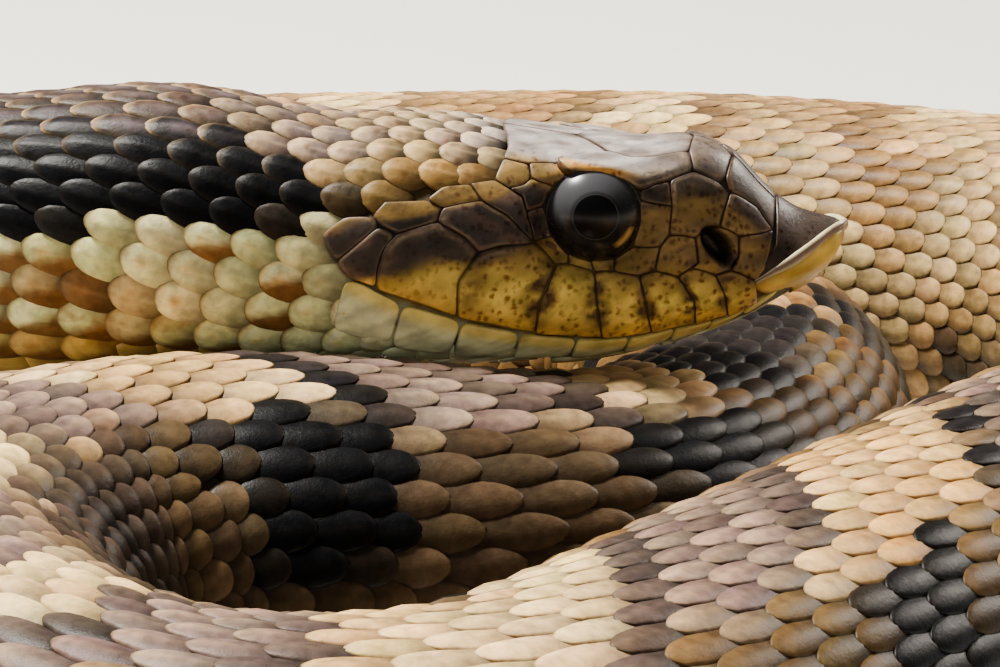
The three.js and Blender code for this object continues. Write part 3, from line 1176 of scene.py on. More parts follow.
        # pale free edges: partly their own paler horn, partly painted highlight on the upper rows
        pale = near * (1 - light) * (0.08 + 0.5 * (1 - smooth(5, 10, part["down"])))
        pale = pale + 0.07 * (1 - near) + nape * 0.4
        color = mix(color, p.edge, free * pale[:, None])
        # painted shade: the rim and walls darkened, and the lower half of each nape scale
        shade = np.where(tile.top, 1 - 0.30 * smooth(0.93, 1.0, tile.rim), 0.4)[None]
        painted_underside_shade = (nape * part["smoky"])[:, None] * smooth(0.25, 1.0, part["low"])
        return color * (shade * (1 - 0.42 * painted_underside_shade))[..., None]


@dataclass
class BellyScutes(Cover):
    """The broad scutes under the body and the paired ones under the tail."""

    rows: ScaleRows
    vent: float = 618.0
    start: float = 28.0
    reach: float = 0.15
    broad: Tile = field(default_factory=lambda: Tile((-1, -0.3, 0.5, 0.93, 1), lines(18, 1.2), 0.2))
    small: Tile = field(default_factory=lambda: Tile(lines(6, 1.3), lines(6, 1.3), 0.8))

    def build(self) -> list[Piece]:
        """Make the belly's, tail's and throat's scutes.

        Returns:
            The three pieces.
        """
        number = np.arange(1, self.rows.count[-1], 1.0)
        s = np.interp(number, self.rows.count, self.rows.grid)
        belly = s[(s > self.start) & (s < self.vent)]
        belly_long = along(self.rows.pitches, belly) * 0.62
        belly_wide = self.reach * 2 * self.shape.half(belly)
        tail = s[(s >= self.vent) & (s < self.shape.length - 1.5)]
        pair = np.concatenate([tail, tail + 0.4 * along(self.rows.pitches, tail)])
        pair_long = along(self.rows.pitches, pair) * 0.7
        pair_wide = 0.075 * 2 * self.shape.half(pair)
        pair_place = np.repeat([0.065, -0.065], len(tail))
        throat, throat_place = self.throat()
        even = np.ones(len(throat))
        return [
            self.piece("belly_scutes", belly, belly * 0, belly_long, belly_wide, self.broad),
            self.piece("tail_scutes", pair, pair_place, pair_long, pair_wide, self.small),
            self.piece("throat_scales", throat, throat_place, even * 1.3, even * 1.15, self.small),
        ]

    def throat(self) -> tuple[Array, Array]:
        """Set out the throat's small scales in seven rows.

        Returns:
            Their places along and round the body.
        """
        rows = range(-3, 4)
        along_row = [np.arange(18.5 + 0.8 * (row % 2), self.start + 1.5, 1.9) for row in rows]
        place = np.repeat([row * 0.04 for row in rows], [len(s) for s in along_row])
        return np.concatenate(along_row), place

    def piece(self, name: str, s: Array, v: Array, long: Array, wide: Array, tile: Tile) -> Piece:
        """Make one kind of scute.

        Args:
            name: The piece's name.
            s: Where each scute lies along the body.
            v: Where it lies round the body.
            long: Half its length.
            wide: Half its width.
            tile: Its form.

        Returns:
            The piece.
        """
        rng = np.random.default_rng(len(name))
        t = (tile.u + 1) / 2
        points_s = s[:, None] + long[:, None] * tile.u[None]
        points_v = v[:, None] - wide[:, None] * tile.w[None] / (2 * self.shape.half(s)[:, None])
        rim = np.where(tile.rim > 0.99, -0.12, 0.0)
        height = np.where(tile.top, -0.34 + 0.26 * t + rim, -0.6 + 0.3 * t)
        scale = np.clip(self.shape.girth(s) / 8, 0.3, 1.0)
        points = self.shape.lay(points_s, points_v, height[None] * scale[:, None], floor=0.0)
        mesh = tile.repeat(name, self.shape.place(points))
        root_s = (s - s.min() + 2) / (np.ptp(s) + 4)
        root_v = np.mod(v, 1.0) * 0.98 + 0.01
        unwrap(mesh, patches(root_s[:, None], root_v[:, None], tile))
        color = mix(self.markings.palette.chin, self.markings.body(points_s, points_v),
                    smooth(26, 36, points_s))
        color = color * rng.uniform(0.94, 1.06, (len(s), 1, 1)) * (0.86 + 0.16 * t)[None, :, None]
        rust = self.markings.rust(points_s, points_v)
        dress(mesh, color.reshape(-1, 3), rust * 0, rust * 0.7)
        return show(mesh, name, self.finish)


@dataclass
class HeadPlates(Cover):
    """The large plates of the head, each an outline of named corners on one side."""

    tile: Tile = field(default_factory=lambda: Tile(lines(18, 1.7), lines(18, 1.7), 1.0))
    margin: float = 0.025
    outline_steps: int = 240
    # corner: distance back from the snout tip, distance down from the middle of the crown
    corners: dict[str, tuple[float, float]] = field(default_factory=lambda: {
        "m0": (5.0, 9.0), "m1": (6.8, 11.7), "m2": (8.7, 13.5), "m3": (11.2, 14.4),
        "m4": (14.0, 15.1), "m5": (17.8, 15.4), "m6": (22.2, 15.1), "m7": (26.7, 13.8), "m8": (28.3, 13.0),
        "n1": (7.1, 10.3), "n2": (8.9, 11.7), "n3": (11.7, 12.2), "n4": (14.4, 12.9),
        "n5": (17.7, 13.3), "n6": (22.3, 12.9), "n7": (26.7, 12.6),
        "l0": (5.35, 7.4), "l1": (7.8, 9.5), "l2": (10.0, 10.5), "l3": (12.2, 10.6),
        "l4": (14.7, 11.0), "l5": (16.9, 11.0), "l6": (21.3, 11.0), "l7": (26.4, 11.3),
        "a1": (6.9, 8.5), "a2": (9.2, 9.8), "a3": (11.3, 10.2), "a4": (13.6, 10.7), "a5": (16.2, 10.9),
        "a6": (18.2, 9.9), "a7": (20.1, 10.4), "a8": (22.1, 10.3), "a9": (23.7, 9.6), "a10": (25.8, 10.5),
        "t0": (26.7, 10.1), "t1": (27.8, 11.1), "t2": (29.0, 12.0), "t3": (29.9, 10.4), "t4": (28.7, 9.4),
        "t5": (27.2, 9.6), "t6": (26.6, 8.7), "t7": (24.4, 8.4), "t8": (23.5, 8.8), "t9": (23.0, 8.6),
        "t10": (21.4, 8.0), "t11": (19.8, 8.6), "t12": (23.6, 7.5), "t13": (22.1, 7.1),
        "t14": (20.8, 6.6), "t15": (19.9, 7.0), "t16": (19.1, 7.3), "t17": (18.8, 8.2),
        "e1": (17.4, 6.4), "e2": (17.9, 7.9), "e3": (17.2, 9.6), "e4": (16.2, 10.3), "e5": (14.9, 10.5),
        "e6": (13.6, 10.1), "e7": (12.6, 9.1), "e8": (12.3, 7.6), "e9": (12.4, 6.2), "e10": (13.2, 5.3),
        "e11": (14.9, 5.0), "e12": (16.7, 5.4),
        "f1": (18.7, 6.1), "f2": (19.1, 6.6), "f3": (18.9, 5.1), "f4": (17.4, 4.6), "f5": (20.4, 5.0),
        "g1": (11.1, 8.8), "g2": (10.6, 8.1), "g3": (9.1, 8.0), "g4": (8.8, 9.4), "g5": (10.5, 6.4),
        "g6": (11.5, 5.1), "g7": (10.7, 4.9), "g8": (12.4, 5.6),
        "h1": (9.3, 4.1), "h2": (7.8, 4.0), "h3": (7.1, 4.1), "h4": (7.5, 5.7), "h5": (7.7, 6.6),
        "h6": (8.6, 7.3), "h7": (6.5, 6.1), "h8": (6.5, 7.3), "h9": (4.4, 3.4), "h10": (4.8, 6.2),
        "h11": (5.4, 3.0), "h12": (4.2, 0.8), "h13": (7.4, 3.4), "h14": (6.9, 0.9),
        "c1": (7.6, 0), "c2": (9.2, 0), "c3": (9.6, 2.6), "c4": (12.9, 3.3), "c5": (14.2, 2.9),
        "c6": (16.2, 0), "c7": (15.8, 3.3), "c8": (20.2, 3.8), "c9": (20.7, 0), "c10": (4.2, 0),
    })
    paired: dict[str, str] = field(default_factory=lambda: {
        "lip_1": "l0 a1 l1 n1 m1 m0", "lip_2": "l1 a2 l2 n2 m2 m1 n1", "lip_3": "l2 a3 l3 n3 m3 m2 n2",
        "lip_4": "l3 a4 l4 n4 m4 m3 n3", "lip_5": "l4 a5 l5 n5 m5 m4 n4",
        "lip_6": "l5 a6 a7 l6 n6 m6 m5 n5", "lip_7": "l6 a8 a9 a10 l7 n7 m7 m6 n6",
        "lip_8": "l7 a10 t0 t1 t2 m8 m7 n7",
        "temple_1": "t0 t1 t2 t3 t4 t5", "temple_2": "a9 a10 t0 t5 t6 t7 t8",
        "temple_3": "t7 t12 t13 t10 t9 t8", "temple_4": "a6 a7 l6 a8 a9 t8 t9 t10 t11",
        "temple_5": "t10 t13 t14 t15 t16 t17 a6 t11", "temple_6": "f5 t14 t15 f2 f1 f3",
        "behind_eye_1": "e1 f1 f2 t15 t16 t17 e2", "behind_eye_2": "e2 t17 a6 e3",
        "behind_eye_3": "e12 f4 f3 f1 e1",
        "under_eye_1": "e3 a6 l5 a5 e4", "under_eye_2": "e4 a5 l4 e5", "under_eye_3": "e5 l4 a4 e6",
        "under_eye_4": "e6 a4 l3 a3 g1 e7", "under_eye_5": "g1 g2 g3 g4 a2 l2 a3",
        "before_eye_1": "e9 g5 g2 g1 e7 e8", "before_eye_2": "g8 g6 g7 g5 e9",
        "loreal": "g7 h1 h2 h3 h4 h5 h6 g3 g2 g5",
        "nasal_back": "g3 h6 h5 h7 h8 a1 l1 a2 g4", "nasal_front": "h7 h9 h10 l0 a1 h8",
        "nasal_top": "h3 h11 h9 h7 h5 h4", "snout_side": "h12 h9 h11 h3 h13 h14",
        "forehead": "c1 h14 h13 h2 h1 c3 c2",
        "brow": "h1 c3 c4 c5 c7 f4 e12 e11 e10 g8 g6 g7", "crown_side": "c6 c5 c7 f4 f3 f5 c8 c9",
    })
    central: dict[str, str] = field(default_factory=lambda: {
        "snout_top": "c10 h12 h14 c1", "crown": "c2 c3 c4 c5 c6",
    })
    # how often a plate's corners are eased: most of them, and some by name
    common_rounding: int = 10
    rounding: dict[str, int] = field(default_factory=lambda: {
        "low_lip": 150, "temple_1": 110, "temple_3": 60, "temple_6": 60, "lip_8": 90, "behind_eye": 20,
    })
    # depth of the lower lip's plates, by distance from the snout tip
    lip_depth: Table = listed(
        (3.5, 0.9), (8, 1.5), (16, 2.3), (22, 3.2), (28, 3.3),
    )

    def outline(self, names: str) -> Array:
        """Return the corners' places for an outline on the right side."""
        return np.array([self.corners[name] for name in names.split()], float)

    def build(self) -> list[Piece]:
        """Make the plates of both sides, the crown, the snout, the lower lip and the chin.

        Returns:
            One piece with all of them.
        """
        right = [(name, self.outline(names)) for name, names in self.paired.items()]
        right += self.lower_lip() + self.chin()
        both = right + [(name, outline[::-1] * np.array([1, -1])) for name, outline in right]
        for name, names in self.central.items():
            half = self.outline(names)
            mirror = half[::-1] * np.array([1, -1])
            both.append((name, np.concatenate([half, mirror[np.abs(mirror[:, 1]) > 0.01]])))
        return [self.piece(both)]

    def lower_lip(self) -> list[tuple[str, Array]]:
        """Set out the plates under the mouth.

        Returns:
            Name and outline of each.
        """
        cuts = [3.7, 5.6, 7.6, 9.8, 12.4, 15.4, 18.6, 21.9, 25.2, 28.4]
        found = []
        for number, (low, high) in enumerate(zip(cuts, cuts[1:])):
            s = np.linspace(low, high, 6)
            top = self.markings.mouth(s) + 0.14 + 0.06 * smooth(20, 28, s)
            deep = along(self.lip_depth, s)
            bottom = np.minimum(top + deep, self.shape.half(s) - 0.5)
            lean = 0.35 + 0.35 * smooth(14, 26, low)
            found.append((f"low_lip_{number + 1}", np.concatenate([
                np.stack([s, top], -1), np.stack([s + lean, bottom], -1)[::-1]])))
        return found

    def chin(self) -> list[tuple[str, Array]]:
        """Set out the two pairs of long plates under the chin.

        Returns:
            Name and outline of each.
        """
        found = []
        for number, (low, high) in enumerate([(4.2, 10.6), (10.8, 16.8)]):
            s = np.linspace(low, high, 6)
            edge = self.markings.mouth(s) + 0.28 + along(self.lip_depth, s)
            middle = self.shape.half(s) - 0.06
            outer = np.minimum(edge + 0.1, middle - 0.5)
            found.append((f"chin_{number + 1}", np.concatenate([
                np.stack([s, outer], -1), np.stack([s, middle], -1)[::-1]])))
        return found

    def spread(self, outline: Array, soften: int) -> tuple[Array, Array]:
        """Lay the tile's points over an outline.

        Args:
            outline: Corners in order, as back and down distances.
            soften: How often its corners are eased.

        Returns:
            Back and down distances of the tile's points.
        """
        closed = np.concatenate([outline, outline[:1]])
        run = np.concatenate([[0], np.cumsum(np.linalg.norm(np.diff(closed, axis=0), axis=1))])
        dense = np.linspace(0, run[-1], self.outline_steps + 1)[:-1]
        ring = np.stack([np.interp(dense, run, closed[:, k]) for k in range(2)], -1)
        for _ in range(soften):
            ring = (np.roll(ring, 1, 0) + ring * 2 + np.roll(ring, -1, 0)) / 4
        middle = ring.mean(0)
        away = ring - middle
        inward = 1 - self.margin / np.maximum(np.linalg.norm(away, axis=1, keepdims=True), 0.2)
        ring = middle + away * inward
        angle = np.arctan2(away[:, 1], away[:, 0])
        begin = int(np.argmin(np.abs(angle)))
        ring = np.roll(ring, -begin, axis=0)
        turn = np.sum(away[:, 0] * np.roll(away[:, 1], -1) - away[:, 1] * np.roll(away[:, 0], -1))
        if turn < 0:
            ring = np.roll(ring[::-1], 1, axis=0)
        share = np.mod(np.arctan2(self.tile.w, self.tile.u), 2 * math.pi) / (2 * math.pi)
        place = np.arange(self.outline_steps + 1) / self.outline_steps
        closed = np.concatenate([ring, ring[:1]])
        edge = np.stack([np.interp(share, place, closed[:, k]) for k in range(2)], -1)
        out = np.hypot(self.tile.u, self.tile.w)[:, None]
        point = middle + (edge - middle) * out
        return point[:, 0], point[:, 1]

    def soften(self, name: str) -> int:
        """Return how often a plate's corners are eased."""
        kind = name.rstrip("_0123456789")
        return self.rounding.get(name, self.rounding.get(kind, self.common_rounding))

    def piece(self, plates: list[tuple[str, Array]]) -> Piece:
        """Make all the plates as one piece.

        Args:
            plates: Name and outline of each plate.

        Returns:
            The piece.
        """
        tile = self.tile
        out = np.hypot(tile.u, tile.w)
        spread = [self.spread(outline, self.soften(name)) for name, outline in plates]
        s = np.array([row[0] for row in spread])
        q = np.array([row[1] for row in spread])
        v = self.shape.around(s, q)
        crest = -0.07 + 0.07 * np.sqrt(np.clip(1 - out**9, 0, 1)) + 0.03 * (1 - out**2)
        height = np.repeat(np.where(tile.top, crest, -0.30)[None], len(plates), 0)
        reach = np.maximum(np.ptp(s, axis=1), 0.5)[:, None]
        height = height + np.where(tile.top, 0.07, 0.0) * (s - s.mean(1)[:, None]) / reach * 2
        for i, (name, _) in enumerate(plates):
            if name == "brow":
                over = smooth(3.4, 4.8, np.abs(q[i])) * smooth(11.5, 13.5, s[i])
                height[i] += np.where(tile.top, 0.06 + 0.34 * over, 0.10 * over)
            if name.startswith(("low_lip", "chin")):
                height[i] -= 0.05
            if name == "nasal_back":
                height[i] -= np.where(tile.top, 0.0, 1.7)
        points = self.shape.lay(s, v, height - self.nostril(s, q))
        mesh = tile.repeat("head_plates", self.shape.place(points))
        unwrap(mesh, np.stack([s / 32, np.mod(v, 1.0)], -1).reshape(-1, 2))
        colors, speckle = self.colors(s, q, v, out)
        dress(mesh, colors.reshape(-1, 3), speckle, speckle * 0)
        return show(mesh, "head_plates", self.finish)

    @staticmethod
    def from_nostril(s: Array, q: Array) -> Array:
        """Return the distance from the nearer nostril's middle, 1 at its edge."""
        return np.hypot((s - 7.75) / 1.15, (np.abs(q) - 7.7) / 1.05)

    @classmethod
    def nostril(cls, s: Array, q: Array) -> Array:
        """Return how deep the nostril sinks at a place on either side."""
        away = cls.from_nostril(s, q)
        return 1.3 * (1 - smooth(0.45, 1.0, away)) - 0.07 * np.exp(-(((away - 1.25) / 0.25) ** 2))

    def colors(self, s: Array, q: Array, v: Array, out: Array) -> tuple[Array, Array]:
        """Work out the plates' colours.

        Args:
            s: Distance back from the snout tip.
            q: Distance down from the middle of the crown, negative on the left.
            v: Place round the head.
            out: How far each point of the tile lies from its middle.

        Returns:
            Display colours, and how far each point is speckled.
        """
        p = self.markings.palette
        color = self.markings.head(s, v)
        down = np.abs(q)
        below = down - self.markings.mouth(s)
        upper = 1 - smooth(-0.1, 0.3, below)
        bands = smooth(0.30, 0.95, np.abs(self.tile.u))[None] * upper * smooth(-5.0, -4.0, below)
        bands = bands * (1 - smooth(-1.8, -0.2, below)) * (1 - smooth(20, 23, s)) * (s > 6.5)
        color = mix(color, p.suture, np.clip(bands * (1.0 + ripple(s, v, 1.2, 33) * 0.9), 0, 1) * 0.9)
        dark = 1 - smooth(0.18, 0.45, color.mean(-1))
        edge = np.exp(-(((out - 0.89) / 0.05) ** 2))[None] * (0.08 + 0.42 * dark)
        color = mix(color, p.edge, edge * (0.5 + 0.5 * smooth(-0.4, 0.6, ripple(s, v, 2.4, 71))))
        color = mix(color, p.suture, smooth(0.955, 0.995, out)[None] * (0.3 + 0.35 * upper))
        clouds = (1 - smooth(3.0, 4.6, down)) * smooth(0.2, 0.9, ripple(s, v, 2.2, 83))
        color = mix(color, p.snout, clouds * 0.45)
        color = color * (0.95 + 0.12 * ripple(s, v, 1.6, 77) + 0.05 * ripple(s, v, 0.7, 78))[..., None]
        color = mix(color, p.lip, (1 - upper) * smooth(0.6, -0.4, below - 0.9) * 0.7)
        # painted shade: black in the nostril's pit
        color = mix(color, p.black, (1 - smooth(0.6, 1.15, self.from_nostril(s, q))) * 0.9)
        speckle = np.maximum(0.25 + 0.75 * smooth(3.4, 5.0, down), 1 - smooth(8.0, 10.5, s))
        speckle = speckle * upper * (1 - 0.5 * smooth(20, 26, s))
        return color, speckle * np.where(s < 8, 1.0, 0.9)


@dataclass
class Rostral(Cover):
    """The upturned plate on the snout, with its glossy rim."""

    rim_finish: Material
    tile: Tile = field(default_factory=lambda: Tile(lines(14, 1.5), lines(22, 1.4), 0.12))
    rim_steps: int = 26
    rim_sides: int = 12

    def build(self) -> list[Piece]:
        """Return the plate's upper and lower faces and its rim."""
        return [self.face("rostral_below", True), self.face("rostral_above", False), self.rim()]

    def ridge(self, s: Array) -> Array:
        """Return where round the snout its side edge lies, on the right."""
        return along([(0, 0.40), (0.4, 0.38), (1.6, 0.32), (2.9, 0.272), (4.0, 0.242), (5.6, 0.205)], s)

    def places(self, below: bool) -> tuple[Array, Array]:
        """Lay the tile's points on the face above or below the rim.

        Args:
            below: Whether it is the lower face, which ends at the lips.

        Returns:
            Their distances from the snout tip and their places round it.
        """
        t, edge = (self.tile.u + 1) / 2, np.abs(self.tile.w)
        if not below:
            s = 0.06 + t * (4.07 + 0.3 * edge**2 + 1.2 * smooth(0.72, 1, edge))
            return s, 0.5 + self.tile.w * (0.5 - self.ridge(s))
        s = 0.06 + t * (3.0 + 2.45 * smooth(0.35, 1.0, edge))
        v = self.tile.w * self.ridge(s)
        mouth = self.shape.around(s, self.markings.mouth(np.maximum(s, 3.3)))
        low = smooth(0.45, 1.0, t) * (s > 3.1)
        return s, np.sign(self.tile.w) * np.maximum(np.abs(v), mouth * low * (edge > 0.3))

    def face(self, name: str, below: bool) -> Piece:
        """Make the face above or below the rim.

        Args:
            name: The piece's name.
            below: Whether it is the lower face.

        Returns:
            The piece.
        """
        tile = self.tile
        s, v = self.places(below)
        height = np.where(tile.top, -0.05 + 0.05 * (1 - tile.rim**4), -0.45)
        mesh = tile.repeat(name, self.shape.place(self.shape.lay(s, v, height))[None])
        unwrap(mesh, np.stack([s / 32, np.mod(v, 1.0)], -1))
        p = self.markings.palette
        base, clouds = (p.lip, p.amber) if below else (p.snout * 0.72, p.stripe)
        color = mix(base, clouds, smooth(-0.6, 0.8, ripple(s, v, 2.0, 15)) * 0.6)
        color = mix(color, p.suture, smooth(0.85, 1.0, tile.rim) * 0.5)
        dress(mesh, color, s * 0 + (0.0 if below else 1.0), s * 0)
        return show(mesh, name, self.finish)

    def rim(self) -> Piece:
        """Make the rounded rim, swept along the ridge from cheek to cheek, pale partly as a painted
        highlight.

        Returns:
            The piece.
        """
        half = self.rim_steps
        s = np.concatenate([np.linspace(5.4, 0.35, half), np.linspace(0.35, 5.4, half)])
        right = np.arange(2 * half) < half
        v = np.where(right, self.ridge(s), 1 - self.ridge(s))
        middle = self.shape.lay(s, v, s * 0 - 0.05)
        front = self.shape.lay(np.array([0.05]), np.array([0.40]), np.array([0.0]))[0]
        front[1] = 0
        mesh = self.sweep(np.concatenate([middle[:half], front[None], middle[half:]]))
        p = self.markings.palette
        turn = np.arange(len(mesh.vertices)) % self.rim_sides
        # pale rim: partly its own pale horn, partly painted highlight along the glossy ridge
        pale = mix(mix(p.cream, p.edge, 0.5), p.crown, 0.35)
        color = mix(pale, p.bruise, np.isin(turn, (self.rim_sides - 1, 0)) * 0.8)
        dress(mesh, color, turn * 0.0, turn * 0.0)
        return show(mesh, "rostral_rim", self.rim_finish)

    def sweep(self, middle: Array) -> Mesh:
        """Sweep an upright oval along the rim, thickest in front.

        Args:
            middle: The rim's middle line from the right cheek to the left.

        Returns:
            The rim's mesh.
        """
        thick = 0.12 + 0.24 * smooth(0.0, 0.5, 1 - np.abs(np.linspace(-1, 1, len(middle))))
        ahead = unit(np.gradient(middle, axis=0))
        out = unit(np.stack([middle[:, 0] - 14, middle[:, 1] * 2.2, middle[:, 2] * 0], -1))
        up = unit(np.cross(ahead, out))
        bm = bmesh.new()
        rings = []
        for i, center in enumerate(middle):
            ring = bmesh.ops.create_circle(bm, segments=self.rim_sides, radius=1.0)["verts"]
            for k, vert in enumerate(ring):
                angle = 2 * math.pi * k / self.rim_sides
                aside, rise = math.cos(angle) * thick[i] * 0.6, math.sin(angle) * thick[i]
                vert.co = Vector(self.shape.place(center + out[i] * aside + up[i] * rise))
            rings.append(ring)
        for a, b in zip(rings, rings[1:]):
            edges = {edge for vert in a + b for edge in vert.link_edges}
            edges = [edge for edge in edges if set(edge.verts) <= set(a) or set(edge.verts) <= set(b)]
            bmesh.ops.bridge_loops(bm, edges=edges)
        bmesh.ops.holes_fill(bm, edges=[edge for edge in bm.edges if edge.is_boundary], sides=0)
        bmesh.ops.recalc_face_normals(bm, faces=bm.faces)
        mesh = bpy.data.meshes.new("rostral_rim")
        bm.to_mesh(mesh)
        bm.free()
        return mesh


@dataclass
class Eyes:
    """The two round, glossy eyes and the dark rings that hold them, dark partly as painted shade."""

    shape: BodyShape
    ball_finish: Material
    ring_finish: Material
    ring_width: float = 0.13
    ring_radius: float = 2.70
    ring_out: float = 5.22

    def build(self) -> list[Piece]:
        """Return both eyes with their rings."""
        return [piece for side in Side for piece in (self.ball(side), self.ring(side))]

    def center(self, side: Side) -> Array:
        """Return the middle of an eyeball."""
        shape = self.shape
        return np.array([shape.line[0][0] - shape.eye_back, side.value * shape.eye_out, shape.eye_up])

    def ball(self, side: Side) -> Piece:
        """Make one eyeball, which stands for its solid.

        Args:
            side: Which eye.

        Returns:
            The piece.
        """
        name = f"eye_{side.name.lower()}"
        bm = bmesh.new()
        bmesh.ops.create_uvsphere(bm, u_segments=64, v_segments=40, radius=self.shape.eye_radius * MM)
        bmesh.ops.rotate(bm, verts=bm.verts, cent=(0, 0, 0), matrix=Matrix.Rotation(math.pi / 2, 3, "X"))
        bmesh.ops.scale(bm, verts=bm.verts, vec=(1.09, 1.0, 1.09))
        bmesh.ops.translate(bm, verts=bm.verts, vec=self.shape.place(self.center(side)))
        mesh = bpy.data.meshes.new(f"{name}_ball")
        bm.to_mesh(mesh)
        bm.free()
        points = np.empty(len(mesh.vertices) * 3)
        mesh.vertices.foreach_get("co", points)
        for key, value in self.looks(side, points.reshape(-1, 3)).items():
            layer = mesh.attributes.new(key, "FLOAT", "POINT")
            layer.data.foreach_set("value", value.astype(np.float32))
        piece = show(mesh, f"{name}_ball", self.ball_finish)
        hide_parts(name)
        return piece

    def looks(self, side: Side, points: Array) -> Part:
        """Work out what the eye's finish has to know at each point.

        Args:
            side: Which eye.
            points: The eyeball's points, in metres.

        Returns:
            By name: distance over the ball from the middle of the gaze, share of the painted sky
            reflection on the upper iris, and share of the painted warm glint low in front.
        """
        radius = self.shape.eye_radius
        middle = self.shape.place(self.center(side))
        gaze = self.center(side) + np.array([0.05, side.value * radius, 0.25])
        look = unit(self.shape.place(gaze) - middle)
        away = unit(points - middle)
        off = np.arccos(np.clip(away @ look, -1, 1)) * radius
        around = unit((away - (away @ look)[:, None] * look[None]) * [1, 0, 1])
        gleam = smooth(0.93, 0.985, around @ unit(np.array([0.80, 0.0, -0.60])))
        return {
            "gaze": off,
            "sky": smooth(-0.15, 0.95, around @ np.array([-0.35, 0.0, 0.94])),
            "gleam": gleam * within(off, (2.05, 2.25, 2.45, 2.62)),
        }

    def ring(self, side: Side) -> Piece:
        """Make the dark rim of skin round one eye, dark partly as its own skin and partly as painted
        shade in the crease round the eyeball.

        Args:
            side: Which eye.

        Returns:
            The piece.
        """
        name = f"eye_ring_{side.name.lower()}"
        bm = bmesh.new()
        level = self.center(side) * [1, 0, 1]
        profile = bmesh.ops.create_circle(bm, segments=12, radius=self.ring_width * MM)["verts"]
        start = level + np.array([self.ring_radius, side.value * self.ring_out, 0])
        bmesh.ops.translate(bm, verts=profile, vec=self.shape.place(start))
        edges = list({edge for vert in profile for edge in vert.link_edges})
        bmesh.ops.spin(bm, geom=profile + edges, cent=self.shape.place(level), axis=(0, 1, 0),
                       angle=2 * math.pi, steps=72, use_merge=True)
        bmesh.ops.remove_doubles(bm, verts=bm.verts, dist=1e-7)
        bmesh.ops.recalc_face_normals(bm, faces=bm.faces)
        mesh = bpy.data.meshes.new(name)
        bm.to_mesh(mesh)
        bm.free()
        return show(mesh, name, self.ring_finish)


# ---- finishes ----


@dataclass
class Wiring:
    """A node tree in the making, with short ways to add the nodes that come up often."""

    tree: NodeTree

    def supply(self, node: Node, feeds: dict[str | int, Feed]) -> None:
        """Give inputs their values, or link them to other nodes' outputs.

        Args:
            node: The node.
            feeds: A value or an output for each of its inputs.
        """
        for key, feed in feeds.items():
            if isinstance(feed, Socket):
                self.tree.links.new(feed, node.inputs[key])
            else:
                node.inputs[key].default_value = feed

    def node(self, kind: str, feeds: dict[str | int, Feed], **options: object) -> Node:
        """Add a node.

        Args:
            kind: The node's type.
            feeds: A value or another node's output for each of its inputs.
            options: The node's own options.

        Returns:
            The new node.
        """
        made = self.tree.nodes.new(kind)
        for option, value in options.items():
            setattr(made, option, value)
        self.supply(made, feeds)
        return made

    def attribute(self, name: str, output: str = "Fac") -> Socket:
        """Return what a point attribute says."""
        return self.node("ShaderNodeAttribute", {}, attribute_name=name).outputs[output]

    def place(self) -> Socket:
        """Return the place in the object's own frame, in metres."""
        return self.node("ShaderNodeTexCoord", {}).outputs["Object"]

    def noise(self, where: Feed, scale: Feed, detail: float = 2.0, roughness: float = 0.5,
              distortion: float = 0.0) -> Node:
        """Add a noise.

        Args:
            where: Its place.
            scale: Patches in a metre.
            detail: How many finer layers it has.
            roughness: How strong those are.
            distortion: How far it is stirred.

        Returns:
            The noise node.
        """
        feeds = {"Vector": where, "Scale": scale, "Detail": detail, "Roughness": roughness}
        return self.node("ShaderNodeTexNoise", feeds | {"Distortion": distortion})

    def remap(self, value: Feed, start: float, end: float, low: float = 0.0,
              high: float = 1.0) -> Socket:
        """Stretch a value from one range onto another, held at both ends.

        Args:
            value: The value.
            start: Where the first range starts.
            end: Where it ends.
            low: What the start becomes.
            high: What the end becomes.

        Returns:
            The new value.
        """
        feeds = {"Value": value, "From Min": start, "From Max": end, "To Min": low, "To Max": high}
        return self.node("ShaderNodeMapRange", feeds).outputs["Result"]

    def times(self, a: Feed, b: Feed) -> Socket:
        """Return the product of two values."""
        return self.node("ShaderNodeMath", {0: a, 1: b}, operation="MULTIPLY").outputs["Value"]

    def blend(self, share: Feed, a: Feed, b: Feed, how: str = "MIX") -> Socket:
        """Blend two colours.

        Args:
            share: How far b acts on a.
            a: The first colour.
            b: The second colour.
            how: The way they are blended.

        Returns:
            The blended colour.
        """
        made = self.node("ShaderNodeMix", {}, data_type="RGBA", blend_type=how)
        self.supply(made, {0: share, 6: a, 7: b})
        return made.outputs[2]


def new_group(name: str, takes: dict[str, str], gives: dict[str, str]) -> tuple[Wiring, Sockets, Node]:
    """Start a node group for a shared effect.

    Args:
        name: The group's name.
        takes: Its inputs, with the kind of each.
        gives: Its outputs, with the kind of each.

    Returns:
        The group's wiring, what it is given, and the node that takes its results.
    """
    tree = bpy.data.node_groups.new(name, "ShaderNodeTree")
    for way, sockets in (("INPUT", takes), ("OUTPUT", gives)):
        for label, kind in sockets.items():
            tree.interface.new_socket(label, in_out=way, socket_type=kind)
    wiring = Wiring(tree)
    given = wiring.node("NodeGroupInput", {}).outputs
    return wiring, given, wiring.node("NodeGroupOutput", {})


def new_material(name: str) -> tuple[Material, Wiring, Node]:
    """Start a material.

    Args:
        name: The material's name.

    Returns:
        The material, its wiring and its Principled shader.
    """
    material = bpy.data.materials.new(name)
    material.use_nodes = True
    return material, Wiring(material.node_tree), material.node_tree.nodes["Principled BSDF"]


